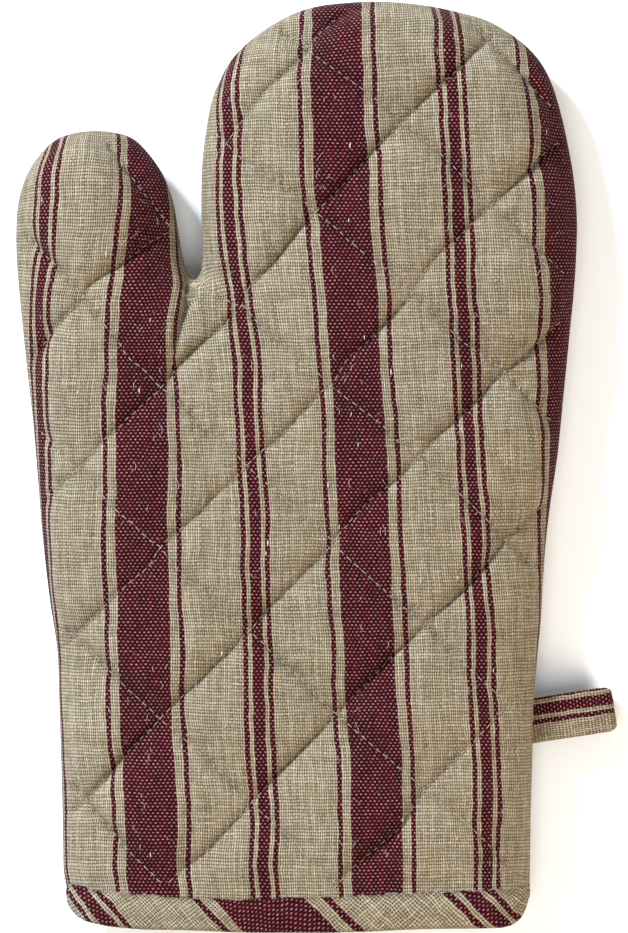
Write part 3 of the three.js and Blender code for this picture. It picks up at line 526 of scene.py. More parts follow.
def make(name, P, faces, uv=None, material=None, normals=None, attrs=None, sm=True):
    """A mesh object from points in millimetres."""
    me = bpy.data.meshes.new(name)
    me.from_pydata((np.asarray(P) * MM).tolist(), [], [tuple(map(int, f)) for f in faces])
    if uv is not None:
        layer = me.uv_layers.new(name="cloth")
        loops = np.empty(len(me.loops), int)
        me.loops.foreach_get("vertex_index", loops)
        layer.data.foreach_set("uv", (np.asarray(uv)[loops] * 0.01).astype(np.float32).ravel())
    for key, val in (attrs or {}).items():
        at = me.attributes.new(key, "FLOAT", "POINT")
        at.data.foreach_set("value", np.asarray(val, np.float32))
    me.polygons.foreach_set("use_smooth", [sm] * len(me.polygons))
    me.validate(clean_customdata=False)
    me.update()
    if normals is not None:
        me.normals_split_custom_set_from_vertices([Vector(n) for n in normals])
    o = bpy.data.objects.new(name, me)
    bpy.context.scene.collection.objects.link(o)
    if material is not None:
        me.materials.append(material)
    return o


def closed(P, N, faces, thick, uv, attrs=None):
    """A panel with thickness: the face, an inner face and a rim."""
    n = len(P)
    F = [tuple(f) for f in faces]
    count = {}
    for f in F:
        for k in range(len(f)):
            a, b = f[k], f[(k + 1) % len(f)]
            count[(a, b)] = count.get((a, b), 0) + 1
    rim = [(a, b) for (a, b) in count if (b, a) not in count]
    F2 = F + [tuple(v + n for v in reversed(f)) for f in F] + [(b, a, a + n, b + n) for a, b in rim]
    P2 = np.vstack([P, P - N * np.asarray(thick)[:, None]])
    uv2 = np.vstack([uv, uv])
    at = {k: np.concatenate([v, v]) for k, v in (attrs or {}).items()}
    return P2, F2, uv2, at, len(rim)


def take(faces, keep_mask, *arrays):
    used = sorted({v for f, k in zip(faces, keep_mask) if k for v in f})
    m = {v: i for i, v in enumerate(used)}
    f2 = [tuple(m[v] for v in f) for f, k in zip(faces, keep_mask) if k]
    return f2, [a[used] for a in arrays]


# ---------------------------------------------------------------- materials
def cloth_material(name, striped=True, base=(0.266, 0.218, 0.150), burgundy=(0.031, 0.0010, 0.0026), end=END, pick=PICK, painted_groove_shade=0.0):
    m = bpy.data.materials.new(name)
    m.use_nodes = True
    nt = m.node_tree
    nt.nodes.clear()
    N, K = nt.nodes, nt.links

    def node(kind, **kw):
        x = N.new(kind)
        for a, b in kw.items():
            setattr(x, a, b)
        return x

    def put(sock, val):
        if isinstance(val, (int, float)):
            sock.default_value = val
        elif isinstance(val, (tuple, list)):
            sock.default_value = val if len(val) == len(sock.default_value) else (*val, 1.0)
        else:
            K.new(val, sock)

    def math_(op, a, b=None, c=None, clamp=False):
        x = node("ShaderNodeMath", operation=op, use_clamp=clamp)
        put(x.inputs[0], a)
        if b is not None:
            put(x.inputs[1], b)
        if c is not None:
            put(x.inputs[2], c)
        return x.outputs[0]

    def mix(f, a, b, kind="MIX"):
        x = node("ShaderNodeMix", data_type="RGBA", blend_type=kind)
        put(x.inputs[0], f); put(x.inputs[6], a); put(x.inputs[7], b)
        return x.outputs[2]

    def noise(vec, scale, detail=2.0):
        x = node("ShaderNodeTexNoise")
        put(x.inputs["Vector"], vec)
        x.inputs["Scale"].default_value = scale
        x.inputs["Detail"].default_value = detail
        return x.outputs["Fac"]

    def white(val, seed):
        x = node("ShaderNodeTexWhiteNoise", noise_dimensions="2D")
        c = node("ShaderNodeCombineXYZ")
        put(c.inputs[0], val); c.inputs[1].default_value = seed
        K.new(c.outputs[0], x.inputs["Vector"])
        return x.outputs["Value"]

    uvn = node("ShaderNodeUVMap", uv_map="cloth")
    sep = node("ShaderNodeSeparateXYZ")
    K.new(uvn.outputs[0], sep.inputs[0])
    wob1 = noise(uvn.outputs[0], 9.0)
    wob2 = noise(uvn.outputs[0], 21.0)
    a = math_("MULTIPLY", sep.outputs[0], 100.0 / end)
    b = math_("MULTIPLY", sep.outputs[1], 100.0 / pick)
    a = math_("ADD", a, math_("MULTIPLY", math_("SUBTRACT", wob2, 0.5), 1.2))
    b = math_("ADD", b, math_("MULTIPLY", math_("SUBTRACT", wob1, 0.5), 1.2))
    ia, ib = math_("FLOOR", a), math_("FLOOR", b)
    fa = math_("SUBTRACT", math_("FRACT", a), 0.5)
    fb = math_("SUBTRACT", math_("FRACT", b), 0.5)
    par = math_("FLOORED_MODULO", math_("ADD", ia, ib), 2.0)
    s = math_("SUBTRACT", 1.0, math_("MULTIPLY", par, 2.0))          # +1 where the warp is on top
    # threads of uneven thickness
    ta = math_("MULTIPLY_ADD", white(ia, 3.1), 0.35, 0.84)
    tb = math_("MULTIPLY_ADD", white(ib, 7.7), 0.40, 0.80)
    ax = math_("DIVIDE", math_("MULTIPLY", math_("ABSOLUTE", fa), 2.0), ta)
    ay = math_("DIVIDE", math_("MULTIPLY", math_("ABSOLUTE", fb), 2.0), tb)
    gx = math_("MULTIPLY", math_("SUBTRACT", ax, 0.44), 3.8, clamp=True)
    gy = math_("MULTIPLY", math_("SUBTRACT", ay, 0.44), 3.8, clamp=True)
    up = math_("SUBTRACT", 1.0, par)                                   # 1 where the warp passes over
    warp_on = math_("MULTIPLY", up, math_("SUBTRACT", 1.0, gx))
    warp_on = math_("MAXIMUM", warp_on, math_("MULTIPLY", math_("MULTIPLY", par, gy), math_("SUBTRACT", 1.0, gx)))
    hole = math_("MULTIPLY", gx, gy)
    over = math_("ADD", math_("MULTIPLY", up, math_("SUBTRACT", 1.0, math_("MULTIPLY", ax, ax))), math_("MULTIPLY", par, math_("SUBTRACT", 1.0, math_("MULTIPLY", ay, ay))), clamp=True)
    top = math_("MULTIPLY_ADD", over, 0.8, math_("MULTIPLY", hole, -0.8))
    fib = noise(uvn.outputs[0], 420.0, 3.0)
    mixfac = noise(uvn.outputs[0], 34.0, 2.0)
    if striped:
        pos = math_("DIVIDE", math_("ADD", math_("FLOORED_MODULO", math_("ADD", ia, 11.0), 100.0), 0.5), 100.0)
        ramp = node("ShaderNodeValToRGB")
        ramp.color_ramp.interpolation = "CONSTANT"
        K.new(pos, ramp.inputs[0])
        runs = [(23, 1), (4, 0), (2, 1), (26, 0), (2, 1), (2, 0), (5, 1), (2, 0), (2, 1), (26, 0), (2, 1), (4, 0)]
        els = ramp.color_ramp.elements
        while len(els) > 1:
            els.remove(els[-1])
        at = 0
        for k, (n_, on) in enumerate(runs):
            e = els[0] if k == 0 else els.new(at / 100.0)
            e.position = at / 100.0
            e.color = (1, 1, 1, 1) if on else (0, 0, 0, 1)
            at += n_
        on = ramp.outputs[0]
    def thread_tone(i_, f_long, seed, contrast):
        """Brightness of one thread, changing slowly along its length."""
        v = node("ShaderNodeCombineXYZ")
        put(v.inputs[0], math_("MULTIPLY", i_, 7.31)); put(v.inputs[1], math_("MULTIPLY", f_long, 0.11)); v.inputs[2].default_value = seed
        n_ = node("ShaderNodeTexNoise")
        K.new(v.outputs[0], n_.inputs["Vector"])
        n_.inputs["Scale"].default_value = 1.0
        n_.inputs["Detail"].default_value = 2.0
        return math_("MULTIPLY_ADD", math_("SUBTRACT", n_.outputs["Fac"], 0.5), contrast, 0.5, clamp=True)

    tone_w, tone_f = thread_tone(ia, b, 1.7, 3.2), thread_tone(ib, a, 9.2, 1.9)
    nat_w = mix(tone_w, tuple(c * q for c, q in zip(base, (0.72, 0.68, 0.60))), tuple(min(1, c * q) for c, q in zip(base, (1.40, 1.44, 1.52))))
    nat_f = mix(tone_f, tuple(c * q for c, q in zip(base, (0.70, 0.66, 0.58))), tuple(min(1, c * q) for c, q in zip(base, (1.42, 1.46, 1.54))))
    if striped:
        bur = mix(tone_w, tuple(c * 0.62 for c in burgundy), tuple(c * 1.4 for c in burgundy))
        heather = math_("MULTIPLY_ADD", fib, 2.6, -1.25, clamp=True)
        bur = mix(math_("MULTIPLY", heather, 0.10), bur, (0.14, 0.055, 0.065))
        warp = mix(on, nat_w, bur)
        # the light weft shows only as small dots between burgundy ends
        ex = math_("MULTIPLY", math_("MULTIPLY", fa, fa), 3.6)
        ey = math_("MULTIPLY", math_("MULTIPLY", fb, fb), 17.0)
        dot = math_("MULTIPLY", math_("SUBTRACT", 1.0, math_("ADD", ex, ey)), 2.2, clamp=True)
        dot = math_("MULTIPLY", math_("MULTIPLY", dot, par), math_("MULTIPLY_ADD", white(math_("MULTIPLY_ADD", ib, 57.0, ia), 5.1), 0.7, 0.35))
        weft_on = mix(on, math_("SUBTRACT", 1.0, warp_on), dot)
        speck = mix(0.85, nat_f, (0.27, 0.120, 0.137))
        col = mix(weft_on, warp, mix(on, nat_f, speck))
        hole = math_("MULTIPLY", hole, math_("MULTIPLY_ADD", on, -0.55, 1.0))
    else:
        col = mix(warp_on, nat_f, nat_w)
    # painted shade in the pin-holes between the threads, and beside each thread that passes over
    side_ = math_("MAXIMUM", math_("MULTIPLY", math_("MULTIPLY", up, gx), 0.72), math_("MULTIPLY", math_("MULTIPLY", par, gy), 0.48))
    if striped:
        side_ = math_("MULTIPLY", side_, math_("MULTIPLY_ADD", on, -0.5, 1.0))
    dark = math_("MAXIMUM", math_("MULTIPLY", hole, math_("MULTIPLY_ADD", mixfac, 0.4, 0.85)), side_, None, True)
    col = mix(1.0, col, mix(dark, (1, 1, 1), (0.05, 0.033, 0.02)), "MULTIPLY")
    # broad unevenness of colour, and painted shade in the quilting grooves
    big = noise(uvn.outputs[0], 3.0, 4.0)
    col = mix(1.0, col, mix(big, (0.86, 0.85, 0.83), (1.10, 1.10, 1.10)), "MULTIPLY")
    mid = noise(uvn.outputs[0], 60.0, 3.0)
    col = mix(1.0, col, mix(mid, (0.84, 0.82, 0.79), (1.14, 1.15, 1.16)), "MULTIPLY")
    # painted shade: the colour is darkened and browned where the groove attribute is high, along the quilting lines, at
    # the binding's upper edge and at the loop's root
    at = node("ShaderNodeAttribute", attribute_name="groove", attribute_type="GEOMETRY")
    ditch = math_("MULTIPLY", math_("POWER", at.outputs["Fac"], 1.8), 0.6)
    col = mix(ditch, col, mix(1.0, col, (0.42, 0.33, 0.24), "MULTIPLY"))
    bs = node("ShaderNodeBsdfPrincipled")
    K.new(col, bs.inputs["Base Color"])
    bs.inputs["Roughness"].default_value = 0.92
    bs.inputs["Specular IOR Level"].default_value = 0.05
    bs.inputs["Sheen Weight"].default_value = 0.02
    bs.inputs["Sheen Roughness"].default_value = 0.5
    bs.inputs["Sheen Tint"].default_value = (0.9, 0.92, 1.0, 1.0)
    bump = node("ShaderNodeBump")
    bump.inputs["Strength"].default_value = 0.75
    bump.inputs["Distance"].default_value = 0.00022
    K.new(math_("MULTIPLY_ADD", fib, 0.5, math_("MULTIPLY", math_("MAXIMUM", top, -0.4), 0.8)), bump.inputs["Height"])
    K.new(bump.outputs[0], bs.inputs["Normal"])
    out = node("ShaderNodeOutputMaterial")
    K.new(bs.outputs[0], out.inputs[0])
    return m


def thread_material(name, color):
    m = bpy.data.materials.new(name)
    m.use_nodes = True
    nt = m.node_tree
    bs = nt.nodes["Principled BSDF"]
    tc = nt.nodes.new("ShaderNodeTexCoord")
    w = nt.nodes.new("ShaderNodeTexWave")
    w.wave_type, w.bands_direction = "BANDS", "DIAGONAL"
    w.inputs["Scale"].default_value = 900.0
    w.inputs["Distortion"].default_value = 2.0
    nt.links.new(tc.outputs["Object"], w.inputs["Vector"])
    n = nt.nodes.new("ShaderNodeTexNoise")
    n.inputs["Scale"].default_value = 260.0
    nt.links.new(tc.outputs["Object"], n.inputs["Vector"])
    mx = nt.nodes.new("ShaderNodeMix")
    mx.data_type = "RGBA"
    nt.links.new(w.outputs["Fac"], mx.inputs[0])
    mx.inputs[6].default_value = (*[c * 0.7 for c in color], 1)
    mx.inputs[7].default_value = (*[min(1, c * 1.15) for c in color], 1)
    m2 = nt.nodes.new("ShaderNodeMix")
    m2.data_type, m2.blend_type = "RGBA", "MULTIPLY"
    m2.inputs[0].default_value = 0.35
    nt.links.new(mx.outputs[2], m2.inputs[6])
    nt.links.new(n.outputs["Color"], m2.inputs[7])
    nt.links.new(m2.outputs[2], bs.inputs["Base Color"])
    bs.inputs["Roughness"].default_value = 0.7
    bs.inputs["Sheen Weight"].default_value = 0.3
    b = nt.nodes.new("ShaderNodeBump")
    b.inputs["Strength"].default_value = 0.5
    b.inputs["Distance"].default_value = 0.0001
    nt.links.new(w.outputs["Fac"], b.inputs["Height"])
    nt.links.new(b.outputs[0], bs.inputs["Normal"])
    return m


HOMESPUN = cloth_material("striped_homespun")
CALICO = cloth_material("undyed_calico", striped=False, base=(0.40, 0.35, 0.27), end=0.55, pick=0.6)
THREAD = thread_material("cotton_thread", (0.36, 0.30, 0.23))

# ---------------------------------------------------------------- quilted panels
FRONT_STEP, BACK_STEP, LINING_STEP = ((1.15, 1.7, 2.4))
PIECES = {}
AREAS = {}


def area_of(P, faces):
    s = 0.0
    for f in faces:
        for k in range(1, len(f) - 1):
            s += np.linalg.norm(np.cross(P[f[k]] - P[f[0]], P[f[k + 1]] - P[f[0]])) / 2
    return s * 1e-6


def build_panel(side, step):
    P2, D, O, faces = plan_mesh(step)
    # bring grid points onto the quilting lines, and split the squares they cross along the line
    best, onto = np.full(len(P2), 99.0), P2.copy()
    for line in LINES[side]:
        lo, hi = line.min(0) - 3, line.max(0) + 3
        pick = np.flatnonzero((P2[:, 0] > lo[0]) & (P2[:, 0] < hi[0]) & (P2[:, 1] > lo[1]) & (P2[:, 1] < hi[1]) & (D > 7.0))
        if not len(pick):
            continue
        dd, qq, _ = nearest(P2[pick], line[::2] if len(line) > 6 else line)
        near = pick[dd < best[pick]]
        best[near], onto[near] = dd[dd < best[pick]], qq[dd < best[pick]]
    snap = (best < 0.54 * step) & (D > 7.0)
    P2[snap] = onto[snap]
    split = []
    for f in faces:
        if len(f) == 4:
            if snap[f[0]] and snap[f[2]] and not (snap[f[1]] and snap[f[3]]):
                split += [(f[0], f[1], f[2]), (f[0], f[2], f[3])]
                continue
            if snap[f[1]] and snap[f[3]] and not (snap[f[0]] and snap[f[2]]):
                split += [(f[0], f[1], f[3]), (f[1], f[2], f[3])]
                continue
        split.append(f)
    faces = split
    r = evaluate(P2, side, D, O)
    uv = cloth_uv(P2, side, D, O)
    if side < 0:
        faces = [f[::-1] for f in faces]
    P = r["p"]
    N = vertex_normals(P, faces)
    # painted shade: this weight, stored as the groove attribute, darkens the cloth's colour along the quilting lines
    groove = np.where(snap, 1.0, np.exp(-((r["near"] / 0.7) ** 2))) * smooth(D / 3) * np.clip(r["pull"], 0, 1)
    cen = np.array([P2[list(f)].mean(0) for f in faces])
    reg = region_of(cen)
    face = "front" if side > 0 else "back"
    for k, where in enumerate(REGIONS):
        f2, (p, n, t, u, g) = take(faces, reg == k, P, N, r["thick"], uv, groove)
        # inner face: straight down from the outer one, so that it never folds through itself at the edge
        dn = n.copy()
        P3, F3, U3, at, rims = closed(p, dn, f2, t, u, {"groove": g})
        P3[len(p):, 2] = np.clip(P3[len(p):, 2], SEAM_Z + 0.02 if side > 0 else 0.3, 99 if side > 0 else SEAM_Z - 0.02)
        nn = np.vstack([n, -n])
        o = make(f"quilted_{face}_{where}", P3, F3, U3, HOMESPUN, nn, at)
        nodes = [f"outer_{face}_{where}", f"wadding_{face}_{where}"]
        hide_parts(*nodes)
        settle(o, k)
        PIECES[(face, where)] = o


def build_lining(side, step):
    P2, D, O, faces = plan_mesh(step, inset=3.4)
    r = evaluate(P2, side, D, O)
    if side < 0:
        faces = [f[::-1] for f in faces]
    N0 = r["n"]
    N1 = vertex_normals(r["p"], faces)
    N = N0 * 0.5 + N1 * 0.5
    N /= np.linalg.norm(N, axis=1)[:, None]
    t = r["thick"] + 0.25
    P = r["p"] - N * t[:, None]
    lim = SEAM_Z + 0.15 * side
    P[:, 2] = np.maximum(P[:, 2], lim) if side > 0 else np.minimum(P[:, 2], lim)
    # the edge meets the other lining at the seam
    w = smooth((D - 3.4) / 2.2)
    P[:, 2] = lim + (P[:, 2] - lim) * w
    uv = cloth_uv(P2, -1, D, O)
    cen = np.array([P2[list(f)].mean(0) for f in faces])
    reg = region_of(cen)
    face = "front" if side > 0 else "back"
    for k, where in enumerate(REGIONS):
        f2, (p, n, u) = take(faces, reg == k, P, N, uv)
        P3, F3, U3, at, rims = closed(p, n, f2, np.full(len(p), 0.45), u, {"groove": np.zeros(len(p))})
        o = make(f"lining_{face}_{where}_cloth", P3, F3, U3, CALICO, None, at)
        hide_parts(f"lining_{face}_{where}")
        a = area_of(p, f2)
        AREAS[o.name] = a
        settle(o, k)


for _side, _step in ((1, FRONT_STEP), (-1, BACK_STEP)):
    build_panel(_side, _step)
    build_lining(_side, LINING_STEP)


# ---------------------------------------------------------------- stitches
def stitch_mesh(path, normals, length, gap, radius, lift, seed):
    """Separate stitches along a path: each rises out of the cloth, lies on it and dives back in."""
    seg = np.linalg.norm(np.diff(path, axis=0), axis=1)
    s = np.concatenate([[0], np.cumsum(seg)])
    rnd = np.random.RandomState(seed)
    V, F, at = [], [], 0.3
    while at + length < s[-1]:
        l = length * rnd.uniform(0.9, 1.08)
        ts = np.linspace(at, min(at + l, s[-1]), 6)
        c = np.stack([np.interp(ts, s, path[:, k]) for k in range(3)], 1)
        n = np.stack([np.interp(ts, s, normals[:, k]) for k in range(3)], 1)
        n /= np.linalg.norm(n, axis=1)[:, None]
        t = np.gradient(c, axis=0)
        t /= np.maximum(np.linalg.norm(t, axis=1), 1e-9)[:, None]
        b = np.cross(n, t)
        b /= np.maximum(np.linalg.norm(b, axis=1), 1e-9)[:, None]
        rise = np.array([-1.1, 0.25, 1.0, 1.0, 0.25, -1.1]) * lift
        rad = radius * np.array([0.75, 1, 1.05, 1.05, 1, 0.75])
        c = c + n * (rise * rnd.uniform(0.7, 1.25))[:, None] + b * rnd.uniform(-0.14, 0.14)
        base = len(V)
        for i in range(6):
            for k in range(6):
                a = 2 * math.pi * k / 6
                V.append(c[i] + (b[i] * math.cos(a) + n[i] * math.sin(a)) * rad[i])
        for i in range(5):
            for k in range(6):
                F.append((base + i * 6 + k, base + i * 6 + (k + 1) % 6, base + (i + 1) * 6 + (k + 1) % 6, base + (i + 1) * 6 + k))
        F.append(tuple(base + k for k in reversed(range(6))))
        F.append(tuple(base + 30 + k for k in range(6)))
        at += l + gap
    return V, F


def stitches(side):
    groups = {0: ([], []), 1: ([], []), 2: ([], [])}
    for li, line in enumerate(LINES[side]):
        q = resample(line, 1.2)
        d, near, _ = nearest(q, LONG)
        keep = (d > 1.6) & (q[:, 1] > CUFF_Y + 12.5)
        if keep.sum() < 4:
            continue
        q = q[keep]
        r = evaluate(q, side)
        reg = region_of(q)
        for k in (0, 1, 2):
            run = np.flatnonzero(reg == k)
            if len(run) < 4:
                continue
            for part in np.split(run, np.flatnonzero(np.diff(run) > 1) + 1):
                if len(part) < 4:
                    continue
                V, F = stitch_mesh(r["p"][part], r["n"][part], 2.8, 0.3, 0.13, 0.33, li * 7 + k)
                v0 = len(groups[k][0])
                groups[k][0].extend(V)
                groups[k][1].extend(tuple(v0 + i for i in f) for f in F)
    face = "front" if side > 0 else "back"
    for k, (V, F) in groups.items():
        if not V:
            continue
        o = make(f"quilting_stitches_{face}_{REGIONS[k]}", np.array(V), F, None, THREAD)
        node = f"quilting_thread_{face}_{REGIONS[k]}"
        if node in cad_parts:
            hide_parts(node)
        settle(o, k)


stitches(1)
stitches(-1)

# the closing seam, seen in the groove between the panels
_q = resample(CHAIN, 1.0)
_t = np.gradient(_q, axis=0); _t /= np.linalg.norm(_t, axis=1)[:, None]
_n = np.stack([-_t[:, 1], _t[:, 0], np.zeros(len(_t))], 1)
_keep = _q[:, 1] > CUFF_Y + 14
_reg = region_of(_q)
for _k, _where in enumerate(REGIONS):
    V, F = [], []
    run = np.flatnonzero((_reg == _k) & _keep)
    for i, part in enumerate(np.split(run, np.flatnonzero(np.diff(run) > 1) + 1)):
        if len(part) < 4:
            continue
        path = np.column_stack([_q[part] - _n[part, :2] * 0.3, np.full(len(part), SEAM_Z)])
        v, f = stitch_mesh(path, _n[part], 2.2, 0.6, 0.13, 0.08, 90 + i)
        F.extend(tuple(len(V) + j for j in g) for g in f)
        V.extend(v)
    o = make(f"side_seam_stitches_{_where}", np.array(V), F, None, THREAD)
    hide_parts(*[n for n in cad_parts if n.startswith("seam_thread") and _where in n])
    settle(o, _k)


# ---------------------------------------------------------------- cuff binding
def binding():
    n = 150
    dens = []
    for s in (1, -1):
        th = np.linspace(0, math.pi, n + 1)
        x = CUFF_MID - CUFF_HALF * np.sign(np.cos(th)) * np.abs(np.cos(th)) ** 1.0
        dens.append(x if s > 0 else x[::-1])
    xs = np.concatenate([dens[0], dens[1][1:-1]])
    sd = np.concatenate([np.ones(n + 1), -np.ones(n - 1)])
    tops_x = np.array([-84, -81.4, -75.8, -66.9, -42.3, -25.2, -13.3, 4.4, 27.1, 41.6, 64.6, 69.6, 72.0])
    tops_y = np.array([-136.0, -136.6, -138.4, -139.2, -141.2, -141.7, -141.2, -140.8, -139.7, -139.2, -138.8, -137.6, -136.9])
    P, UV, faces = [], [], []
    m = None
    along = 0.0
    prev = None
    for i, (x, s) in enumerate(zip(xs, sd)):
        s = int(s)
        d = min(x - CUFF_L, CUFF_R - x)
        d = max(d, 0.0)
        o = -1.0 if x < CUFF_MID else 1.0
        xy = np.array([[x, CUFF_Y + float(cuff_rise(np.array([x]))[0]) + 1.0]])
        r = evaluate(xy, s, np.array([d]), np.array([[o, 0.0]]))
        p = r["p"][0]
        nx, nz = r["n"][0][0], r["n"][0][2]
        if d < 0.02:
            nx, nz = o, 0.0
            p = np.array([p[0], p[1], SEAM_Z])
        T = float(r["thick"][0])
        y0 = CUFF_Y + float(cuff_rise(np.array([x]))[0])
        y1 = float(np.interp(x, tops_x, tops_y)) + 0.25 * math.sin(x * 0.55) + 0.15 * math.sin(x * 1.3 + 1)
        g = float(value_noise(np.array([x]), np.array([s * 40.0]), 9, 41)[0])
        g2 = float(value_noise(np.array([x]), np.array([s * 40.0]), 4, 42)[0])
        puff = 0.85 + 0.16 * g + 0.08 * g2
        down = 0.55 if s < 0 else 1.0            # flatter against the table
        L = y1 - y0
        sec = [(-0.3, y1 + 0.05), (0.25, y1 - 0.1), (0.62 * down, y1 - 0.5), (0.5 * down, y1 - 1.0), (0.38 * down, y1 - 1.45), (0.62 * down, y1 - 2.0)]
        for k in range(1, 8):
            q = k / 8
            sec.append(((0.75 + puff * 0.75 * math.sin(math.pi * min(1, q * 1.1))) * down, y1 - 2.0 - (L - 2.4) * q))
        rr = (T + 2.2) / 2
        cx = -T / 2
        for k in range(0, 10):
            a = math.pi * k / 9
            sec.append((cx + (rr if k else rr) * math.cos(a) * (down if math.cos(a) > 0 and s < 0 else 1), y0 - 0.2 - 1.55 * math.sin(a) ** 0.8))
        for k in range(1, 7):
            q = k / 7
            sec.append((-T - 1.05 - 0.25 * math.sin(math.pi * q), y0 - 0.2 + (L - 0.4) * q))
        sec += [(-T - 0.8, y1 - 0.1), (-T - 0.2, y1)]
        sec = np.array(sec)
        # inside face of the folded strip
        back = []
        for k in range(len(sec)):
            a, b = sec[max(0, k - 1)], sec[min(len(sec) - 1, k + 1)]
            t = (b - a) / max(1e-6, np.linalg.norm(b - a))
            back.append(sec[k] + np.array([-t[1], t[0]]) * -0.42)
        ring = np.vstack([sec, np.array(back)[::-1]])
        m = len(ring)
        arc = np.concatenate([[0], np.cumsum(np.linalg.norm(np.diff(sec, axis=0), axis=1))])
        arc = np.concatenate([arc, arc[::-1]])
        ease = 0.5 + 0.5 * float(smooth(np.array(d / 9.0)))
        pts = np.array([[p[0] + nx * (h * ease if h > 0 else h), y, p[2] + nz * h] for h, y in ring])
        pts[:, 2] = np.maximum(pts[:, 2], 0.0)
        if prev is not None:
            along += float(np.linalg.norm(pts[8] - prev))
        prev = pts[8].copy()
        # bias cut: the stripes slant down to the right, stretched as the strip was sewn on
        slant = (pts[:, 0] - SHIFT[0]) + 104.1 - 0.93 * (arc - 1.5)
        if s < 0:
            slant = -slant + 74.0 + 0.0
        u = np.interp(slant, [-50, 26.0, 83.9, 154.6, 240], [-36.75 - 76 * 0.66, -36.75, 0.0, 36.75, 36.75 + 85.4 * 0.6])
        v = 0.733 * arc + 0.68 * (slant + 0.93 * (arc - 1.5) * (1 if s > 0 else -1))
        P.append(pts); UV.append(np.stack([u, v], 1))
    k = len(P)
    for i in range(k):
        j = (i + 1) % k
        for q in range(m):
            r_ = (q + 1) % m
            faces.append((i * m + q, i * m + r_, j * m + r_, j * m + q))
    P = np.vstack(P)
    # painted shade along the binding's upper edge, where it tucks into the ditch against the panel
    ditch = np.zeros(m); ditch[[0, 1, 2, m - 1, m - 2]] = (1, 1, 0.7, 1, 1)
    o = make("cuff_binding_cloth", P, faces, np.vstack(UV), HOMESPUN, None, {"groove": np.tile(ditch, k)})
    import bmesh
    bm = bmesh.new(); bm.from_mesh(o.data)
    bmesh.ops.recalc_face_normals(bm, faces=bm.faces)
    bm.to_mesh(o.data); bm.free()
    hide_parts("cuff_binding")
    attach(o, "palm")
    # the row of stitches that holds the strip, sunk in the ditch under its upper edge
    V, F = [], []
    for s in (1, -1):
        sel = [i for i in range(k) if sd[i] == s and min(xs[i] - CUFF_L, CUFF_R - xs[i]) > 1.0]
        path = np.array([P[i * m] for i in sel])
        nrm = []
        for i in sel:
            e = P[i * m + 4] - P[i * m + m - 5]
            nrm.append(e / max(1e-6, np.linalg.norm(e)))
        v, f = stitch_mesh(path, np.array(nrm), 2.3, 0.5, 0.14, 0.08, 70 + s)
        F.extend(tuple(len(V) + j for j in g) for g in f)
        V.extend(v)
    V = np.array(V); V[:, 2] = np.maximum(V[:, 2], 0.0)
    o2 = make("binding_topstitching", V, F, None, THREAD)
    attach(o2, "palm")


binding()


# ---------------------------------------------------------------- hanging loop
def hanging_loop():
    L, T, W, bulb, droop, tilt = 27.9, 1.2, 14.6, 8.5, math.radians(15.5), math.radians(8.5)
    root = np.array([71.6 + SHIFT[0], -83.6 + SHIFT[1], SEAM_Z])
    half = lambda u: 0.68 + (bulb / 2 - 1.28) * float(smooth(np.array((u - 2) / (L - 9))))
    path = []
    for u in np.linspace(-3.0, L - 4.4, 26):
        path.append((u, half(max(u, 0)) if u > 0 else 0.66))
    r = half(L - 4.4)
    for k in range(1, 12):
        a = math.pi / 2 - math.pi * k / 12
        path.append((L - 4.4 + 3.6 * math.cos(a) ** 0.85, r * math.sin(a)))
    path += [(u, -h) for u, h in path[:26][::-1]]
    path = resample(np.array(path), 0.7)
    t = np.gradient(path, axis=0); t /= np.linalg.norm(t, axis=1)[:, None]
    nrm = np.stack([-t[:, 1], t[:, 0]], 1)          # outward on the upper leg
    n_w = 22
    sec = []                                         # across the tape: rolled edges, nearly flat faces
    for k in range(n_w + 1):
        w = -1 + 2 * k / n_w
        sec.append((w, 0.5 * (1 - abs(w) ** 7) ** 0.5))
    ring = [(w, h) for w, h in sec] + [(w, -h) for w, h in sec[::-1][1:-1]]
    P, UV, shade = [], [], []
    s_along = np.concatenate([[0], np.cumsum(np.linalg.norm(np.diff(path, axis=0), axis=1))])
    c, s_ = math.cos(droop), math.sin(droop)
    ct, st = math.cos(tilt), math.sin(tilt)
    for i, (pu, ph) in enumerate(path):
        for w, h in ring:
            y = w * W / 2 * (1 - 0.11 * float(smooth(np.array((pu - (L - 3.6)) / 3.0)))) + 0.15 * math.sin(s_along[i] * 0.9) * (1 - w * w)
            hh = h * T * (1.0 + 0.18 * math.exp(-((abs(w) - 0.86) / 0.07) ** 2) - 0.16 * math.exp(-((abs(w) - 0.72) / 0.03) ** 2))
            hh += 0.10 * float(value_noise(np.array([s_along[i]]), np.array([w * 9]), 3.0, 51)[0])
            u_, z_ = pu + nrm[i, 0] * hh, ph + nrm[i, 1] * hh
            x1, z1 = u_ * c + z_ * s_, -u_ * s_ + z_ * c
            x2, y2 = x1 * ct - y * st, x1 * st + y * ct
            P.append((x2 + root[0], y2 + root[1], z1 + root[2]))
            UV.append((36.75 - (y - 3.85), s_along[i]))
            shade.append(0.85 * math.exp(-((max(pu, 0) / 3.2) ** 2)))
    m = len(ring)
    faces = []
    for i in range(len(path) - 1):
        for k in range(m):
            a, b = i * m + k, i * m + (k + 1) % m
            faces.append((a, b, b + m, a + m))
    e = (len(path) - 1) * m
    faces.append(tuple(range(m)))
    faces.append(tuple(e + k for k in reversed(range(m))))
    P = np.array(P)
    o = make("hanging_loop_tape", P, faces, np.array(UV), HOMESPUN, None, {"groove": np.array(shade)})
    import bmesh
    bm = bmesh.new(); bm.from_mesh(o.data)
    bmesh.ops.recalc_face_normals(bm, faces=bm.faces)
    bm.to_mesh(o.data); bm.free()
    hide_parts("hanging_loop")
    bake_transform(o)


hanging_loop()

